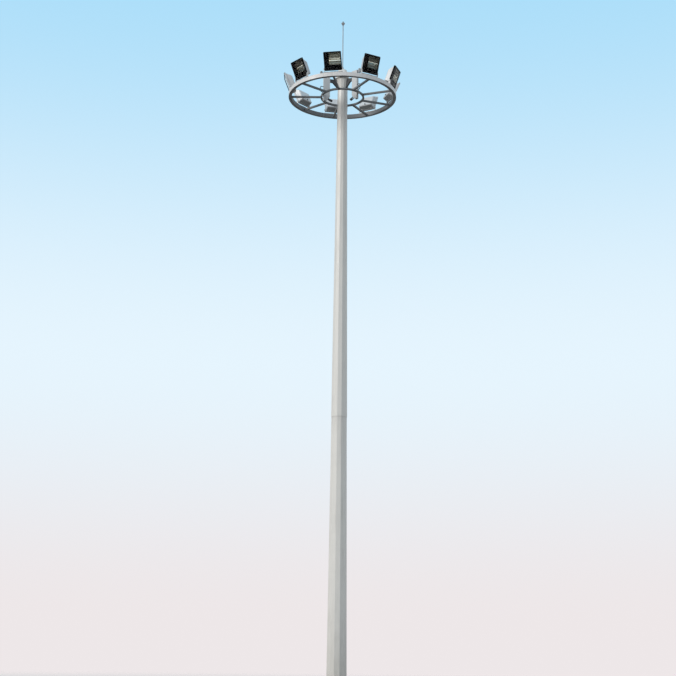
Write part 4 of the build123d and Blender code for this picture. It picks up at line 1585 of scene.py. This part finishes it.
    def guide_fasteners(self) -> None:
        """Bolts through the guides' straps, and the latch boxes' lids with their screws."""
        bolt = self.strap_bolt.solid()
        group = Solid()
        for side in BOTH_SIDES:
            y = side * self.strap_bolt_off
            upper = shift(self.strap_radius, y, INNER_RING_TOP_Z + self.strap_thick)
            lower = shift(self.strap_radius, y, RING_Z - self.strap_thick)
            group += bolt.moved(upper) + bolt.moved(lower, spin(180.0, "X"))
        self.repeat("strap_bolts", group, BOLT_STEEL, ARM_COUNT, ARM_BEARING)
        x, y = (size / 2 - self.lid.corner for size in (self.lid.width, self.lid.height))
        lid = self.lid.solid() + turned(self.lid_screw, 10).copies(
            (shift(left * x, up * y, self.lid.thick),) for left in BOTH_SIDES for up in BOTH_SIDES)
        upright = (shift(self.latch_face, 0.0, self.latch_centre_z), spin(90.0), spin(90.0, "X"))
        self.repeat("latch_box_lids", lid.moved(*upright), LATCH_PAINT, ARM_COUNT, ARM_BEARING)

    def rope_ends(self) -> None:
        """Ferrules and lock nuts that end the hoist ropes in the guides' sockets."""
        end = turned(self.ferrule, 16) + self.ferrule_nut.solid()
        end = end.moved(shift(0.0, 0.0, ROPE_FOOT_Z - self.ferrule_sink))
        self.repeat("rope_ferrules", end, BOLT_STEEL, ARM_COUNT, ARM_BEARING, ROPE_RADIUS)

    def roller_hubs(self) -> None:
        """Clip rings on the steady rollers' ends."""
        pair = turned(self.roller_hub, 20).copies(
            (shift(self.roller_radius, side * self.roller_half, self.roller_z),
             spin(-90.0 * side, "X")) for side in BOTH_SIDES)
        self.repeat("roller_hubs", pair, BOLT_STEEL, ARM_COUNT, ARM_BEARING)


@dataclass
class Floodlight(Assembly):
    """One floodlight, drawn in its own frame: +X out of the glass, +Z up, pivot at the origin."""

    number: int = 1
    face_half: float = 0.200
    face_low: float = -0.045
    face_high: float = 0.375
    frame_back: float = -0.015
    frame_front: float = 0.020
    glass_front: float = 0.015
    mask_back: float = 0.004
    frame_rim: float = 0.016
    edge_band: float = 0.001
    gland_x: float = -0.1405
    pin_y: float = 0.2002
    window: tuple[float, float, float, float] = (-0.080, 0.178, 0.079, 0.349)
    trough: Outline = ((0.0, 0.0), (0.34, 0.03), (0.46, 0.12), (0.62, 0.21), (0.60, 0.31),
                       (0.86, 0.47), (0.92, 0.62), (0.72, 0.80), (0.30, 0.94), (0.0, 1.0))
    depth: float = 0.084
    mirror_gap: float = 0.0003
    cheek_slope: float = 0.020
    sheet: float = 0.0012
    # The polished band is really smoother, and its lighter colour is a painted highlight.
    polished: tuple[float, float] = (0.31, 0.47)
    painted_light_edges_after: int = 4
    bright_reflection_lamp: int = 2
    tube_depth: float = 0.040
    tube_gap: float = 0.001
    tube: Outline = ((0.0070, 0.020), (0.0088, 0.030), (0.0092, 0.045))
    tube_cap: Outline = ((0.0115, 0.0), (0.0125, 0.003), (0.0125, 0.017), (0.0105, 0.020),
                         (0.0105, 0.026), (0.0080, 0.028))
    seal: Outline = ((-0.0004, 0.0), (0.0012, 0.0), (0.0022, 0.0020), (0.0012, 0.0048),
                     (-0.0004, 0.0052))
    screw: Outline = ((0.0058, 0.0), (0.0058, 0.0016), (0.0042, 0.0032), (0.0, 0.0036))
    screw_sink: float = 0.0004
    screw_inset_y: float = 0.008
    screw_inset_z: float = 0.012
    knuckle: Outline = ((0.0055, -0.022), (0.0062, -0.020), (0.0062, 0.020), (0.0055, 0.022))
    hook: Plate = Plate(0.024, 0.030, 0.003, 0.003, 0.0008)
    lever: Plate = Plate(0.018, 0.040, 0.004, 0.004, 0.001)
    lever_lean: float = -8.0
    pin_end: Outline = ((0.0058, 0.0), (0.0058, 0.0034), (0.0048, 0.0046))
    pin_out: float = 0.0232
    hinge_y: float = 0.120

    def __post_init__(self) -> None:
        """Finds the lamp's place from its tilt joint."""
        self.body = f"floodlight_{self.number}"
        self.name = f"lamp_{self.number}"
        joint = next(row for row in frame["joints"] if row["name"] == f"{self.body}_tilt")
        x, y, _ = joint["pos_m"]
        bearing = math.degrees(math.atan2(x, -y))
        tilt = spin(-joint["range_deg"][0], "Y")
        self.seat = Matrix.Translation(joint["pos_m"]) @ towards(bearing) @ tilt
        self.home = self.seat.inverted()

    def build(self) -> None:
        """Makes and dresses the lamp's pieces."""
        housing, rim = f"{self.name}_housing", f"{self.name}_frame"
        self.dress(LAMP_WHITE, housing)
        self.dress(LAMP_BLACK, rim)
        self.dress(PANE, f"{self.name}_glass")
        self.patch(NYLON, housing, lambda spot: (self.home @ spot).x < self.gland_x)
        # The lamps are alike; the white on the frame edges and backs of lamps 5 to 9 is painted
        # light.
        if self.number > self.painted_light_edges_after:
            self.patch(LAMP_WHITE, rim, self.on_frame_edge)
        self.patch(BOLT_STEEL, rim, lambda spot: abs((self.home @ spot).y) > self.pin_y)
        self.mirror()
        self.burner()
        self.gasket()
        self.fasteners()

    def on_frame_edge(self, spot: Vector) -> bool:
        """Tells whether a face lies on the frame's edges or its back.

        Args:
            spot: the face's centre.

        Returns:
            Whether the face gets the housing's white, which is painted light on the lamps numbered
            above the black-edged ones.
        """
        here, band = self.home @ spot, self.edge_band
        return (abs(here.y) > self.face_half - band or here.z < self.face_low + band
                or here.z > self.face_high - band or here.x < self.frame_back + band)

    def solid(self, name: str, shape: Solid, finish: Finish) -> bpy.types.Object:
        """Makes a finished piece of a shape that is drawn in the lamp's frame."""
        return super().solid(f"{self.name}_{name}", shape.moved(self.seat), finish)

    def mirror(self) -> None:
        """Faceted reflector of thin sheet behind the window, with one polished facet whose lighter
        colour paints a bright bar of reflection.
        """
        left, right, low, high = self.window
        rings = []
        for edge, side in ((left, 1.0), (right, -1.0)):
            rings.append([Vector((self.mask_back - self.mirror_gap - deep * self.depth,
                                  edge + side * self.cheek_slope * deep, low + rise * (high - low)))
                          for deep, rise in self.trough])
        whole = skin(rings)
        count = len(self.trough)
        front = {0, count - 1, count, 2 * count - 1}
        whole.faces = [face for face in whole.faces if set(face) != front]

        def thicken(modifier: bpy.types.Modifier) -> None:
            """Gives the sheet its thickness."""
            modifier.thickness, modifier.offset = self.sheet, 1.0

        name = f"{self.name}_mirror"
        mesh = modified(solid_mesh(name, whole.moved(self.seat)), "SOLIDIFY", thicken)
        # Lamp 2 gets lighter reflector colours, a painted brighter reflection; the lamps are alike.
        bright_lamp = self.number == self.bright_reflection_lamp
        self.add(name, mesh, BRIGHT_REFLECTION_SHEET if bright_lamp else DARK_REFLECTION_SHEET, (f"{self.name}_reflector",))
        mesh.materials.append(self.shop.paint.get(BRIGHT_HIGHLIGHT_STRIP if bright_lamp else DIM_HIGHLIGHT_STRIP))
        for polygon in mesh.polygons:
            polygon.use_smooth = False
            rise = ((self.home @ polygon.center).z - low) / (high - low)
            polygon.material_index = int(self.polished[0] < rise < self.polished[1])

    def burner(self) -> None:
        """Discharge tube with its ceramic ends and sprung holders."""
        left, right, low, high = self.window
        inset = self.cheek_slope * self.tube_depth / self.depth + self.tube_gap
        length = right - left - 2.0 * inset
        start = shift(self.mask_back - self.tube_depth, left + inset, (low + high) / 2)
        place = (start, spin(-90.0, "X"))
        mirrored = [(radius, length - height) for radius, height in reversed(self.tube)]
        self.solid("tube", turned([*self.tube, *mirrored], 20).moved(*place), QUARTZ)
        ends = turned(self.tube_cap, 20).copies(
            ((shift(0.0),), (shift(0.0, 0.0, length), spin(180.0, "X"))))
        self.solid("tube_ends", ends.moved(*place), CERAMIC)

    def gasket(self) -> None:
        """Black silicone seal between the glass and the frame's rim."""
        middle = (self.face_low + self.face_high) / 2
        half_y = self.face_half - self.frame_rim
        half_z = self.face_high - self.frame_rim - middle
        rings = [[Vector((self.glass_front + out, y, middle + z))
                  for y, z in oblong(half_y - inset, half_z - inset)] for out, inset in self.seal]
        self.solid("gasket", skin(rings, looped=True), RUBBER)

    def fasteners(self) -> None:
        """Frame screws, hinge knuckles, toggle clips and the ends of the pivot pins."""
        front, y = self.frame_front - self.screw_sink, self.face_half - self.screw_inset_y
        heights = (self.face_low + self.screw_inset_z, (self.face_low + self.face_high) / 2,
                   self.face_high - self.screw_inset_z)
        whole = turned(self.screw, 12).copies((shift(front, side * y, z), spin(90.0, "Y"))
                                              for side in BOTH_SIDES for z in heights)
        clips = ((turned(self.knuckle, 14), -0.004, self.face_high - 0.006, spin(90.0, "X")),
                 (self.hook.solid(), 0.006, self.face_low + 0.0006, spin(180.0, "X")),
                 (self.lever.solid(), -0.020, self.face_low + 0.010, spin(self.lever_lean, "Y")))
        for side in BOTH_SIDES:
            for shape, x, z, turn in clips:
                whole += shape.moved(shift(self.frame_back + x, side * self.hinge_y, z), turn)
        whole += turned(self.pin_end, 14).copies(
            (shift(0.0, side * (self.face_half + self.pin_out)), spin(-90.0 * side, "X"))
            for side in BOTH_SIDES)
        self.solid("fasteners", whole, BOLT_STEEL)


# Stage


@dataclass(frozen=True)
class Sun:
    """One soft lamp, with its bearing and its height in degrees."""

    name: str
    bearing: float
    height: float
    power: float
    softness: float
    tone: Colour


@dataclass
class LightStage:
    """Pale floor and sky, soft lamps and the camera."""

    lens: float = 70.72
    eye: tuple[float, float, float] = (-0.0423, -28.81, 1.6)
    pitch: float = 13.352
    roll: float = 0.61
    suns: tuple[Sun, ...] = (Sun("key", -62.0, 30.0, 2.0, 24.0, (1.0, 0.97, 0.93)),
                             Sun("fill", 25.0, 38.0, 0.62, 60.0, (0.95, 0.97, 1.0)),
                             Sun("back", 150.0, 35.0, 0.3, 60.0, (0.95, 0.97, 1.0)))
    sky_top: Colour = (0.40, 0.725, 0.95)
    sky_middle: Colour = (0.79, 0.91, 0.99)
    sky_low: Colour = (0.85, 0.80, 0.81)
    cloud_tone: Colour = (0.80, 0.80, 0.80)
    cloud_share: float = 0.45
    light_power: float = 0.64
    floor_tone: Colour = (0.62, 0.60, 0.575)
    floor_glow: Colour = (0.16, 0.155, 0.145)
    ground_tone: Colour = (0.05, 0.048, 0.044)
    floor_radius: float = 90.0
    floor_sides: int = 96

    def build(self) -> None:
        """Makes the camera, the lamps, the world and the floor."""
        self.camera()
        self.lamps()
        self.world()
        self.floor()

    def camera(self) -> None:
        """Stands the camera where the photograph was taken from."""
        data = bpy.data.cameras.new("camera")
        data.sensor_width = 36.0
        data.lens = self.lens
        data.clip_end = 500.0
        made = stand("camera", data)
        made.matrix_world = (Matrix.Translation(self.eye) @ spin(90.0 + self.pitch, "X")
                             @ spin(self.roll))
        bpy.context.scene.camera = made

    def lamps(self) -> None:
        """Hangs the soft suns: key from the left, fill from the front, a weak one behind."""
        for sun in self.suns:
            data = bpy.data.lights.new(sun.name, "SUN")
            data.energy = sun.power
            data.angle = math.radians(sun.softness)
            data.color = sun.tone
            made = stand(sun.name, data)
            made.matrix_world = towards(sun.bearing) @ spin(90.0 - sun.height, "Y")

    @staticmethod
    def shown_rays(bench: Bench) -> bpy.types.NodeSocket:
        """Gives 1 for rays that show the background, straight, in metal or through glass.

        Args:
            bench: bench of the tree that asks.

        Returns:
            The share's socket.
        """
        rays = bench.node("ShaderNodeLightPath").outputs
        shown = bench.maths("ADD", rays["Is Camera Ray"], rays["Is Glossy Ray"])
        return bench.maths("ADD", shown, rays["Is Transmission Ray"], clamp=True)

    def world(self) -> None:
        """Shows a pale sky, and lights the object by a softer one over dull ground."""
        world = bpy.data.worlds.new("sky")
        bpy.context.scene.world = world
        bench = Bench(empty_tree(world))
        height = bench.axis(bench.node("ShaderNodeTexCoord").outputs["Generated"], "Z")
        tone = bench.blend(bench.fit(height, 0.02, 0.22), self.sky_low, self.sky_middle)
        tone = bench.blend(bench.fit(height, 0.20, 0.50), tone, self.sky_top)
        soft = bench.blend(self.cloud_share, tone, self.cloud_tone)
        light = bench.blend(bench.fit(height, -0.02, 0.02), self.ground_tone, soft)
        shown = self.shown_rays(bench)
        power = bench.maths("MULTIPLY_ADD", shown, 1.0 - self.light_power, self.light_power)
        glow = bench.node("ShaderNodeBackground",
                          {"Color": bench.blend(shown, light, tone), "Strength": power})
        bench.node("ShaderNodeOutputWorld", {"Surface": glow})

    def floor(self) -> None:
        """Lays a plain floor that fades into the backdrop."""
        disc = bpy.data.meshes.new("floor")
        turns = [math.tau * step / self.floor_sides for step in range(self.floor_sides)]
        ring = [(self.floor_radius * math.cos(t), self.floor_radius * math.sin(t), -0.001)
                for t in turns]
        disc.from_pydata(ring, [], [tuple(range(self.floor_sides))])
        made = stand("floor", disc)
        material = bpy.data.materials.new("pale_floor")
        bench = Bench(empty_tree(material))
        colour = bench.blend(self.shown_rays(bench), self.floor_glow, self.floor_tone)
        base = bench.node("ShaderNodeBsdfDiffuse", {"Color": colour})
        where = bench.node("ShaderNodeTexCoord").outputs["Object"]
        away = bench.node("ShaderNodeVectorMath", {0: where}, operation="LENGTH").outputs["Value"]
        fade = bench.fit(away, self.floor_radius * 0.25, self.floor_radius * 0.95)
        clear = bench.node("ShaderNodeBsdfTransparent")
        mixed = bench.node("ShaderNodeMixShader", {0: fade, 1: base, 2: clear})
        bench.node("ShaderNodeOutputMaterial", {"Surface": mixed})
        disc.materials.append(material)


def main() -> None:
    """Builds the stage and every sub-assembly in order."""
    logging.basicConfig(level=logging.INFO, format="%(name)s %(message)s")
    bpy.context.scene.view_settings.view_transform = "Standard"
    LightStage().build()
    shop = Workshop()
    Mast(shop).build()
    MastHead(shop).build()
    RingCarriage(shop).build()
    for number in range(1, LAMP_COUNT + 1):
        Floodlight(shop, number=number).build()


if __name__ == "__main__":
    main()
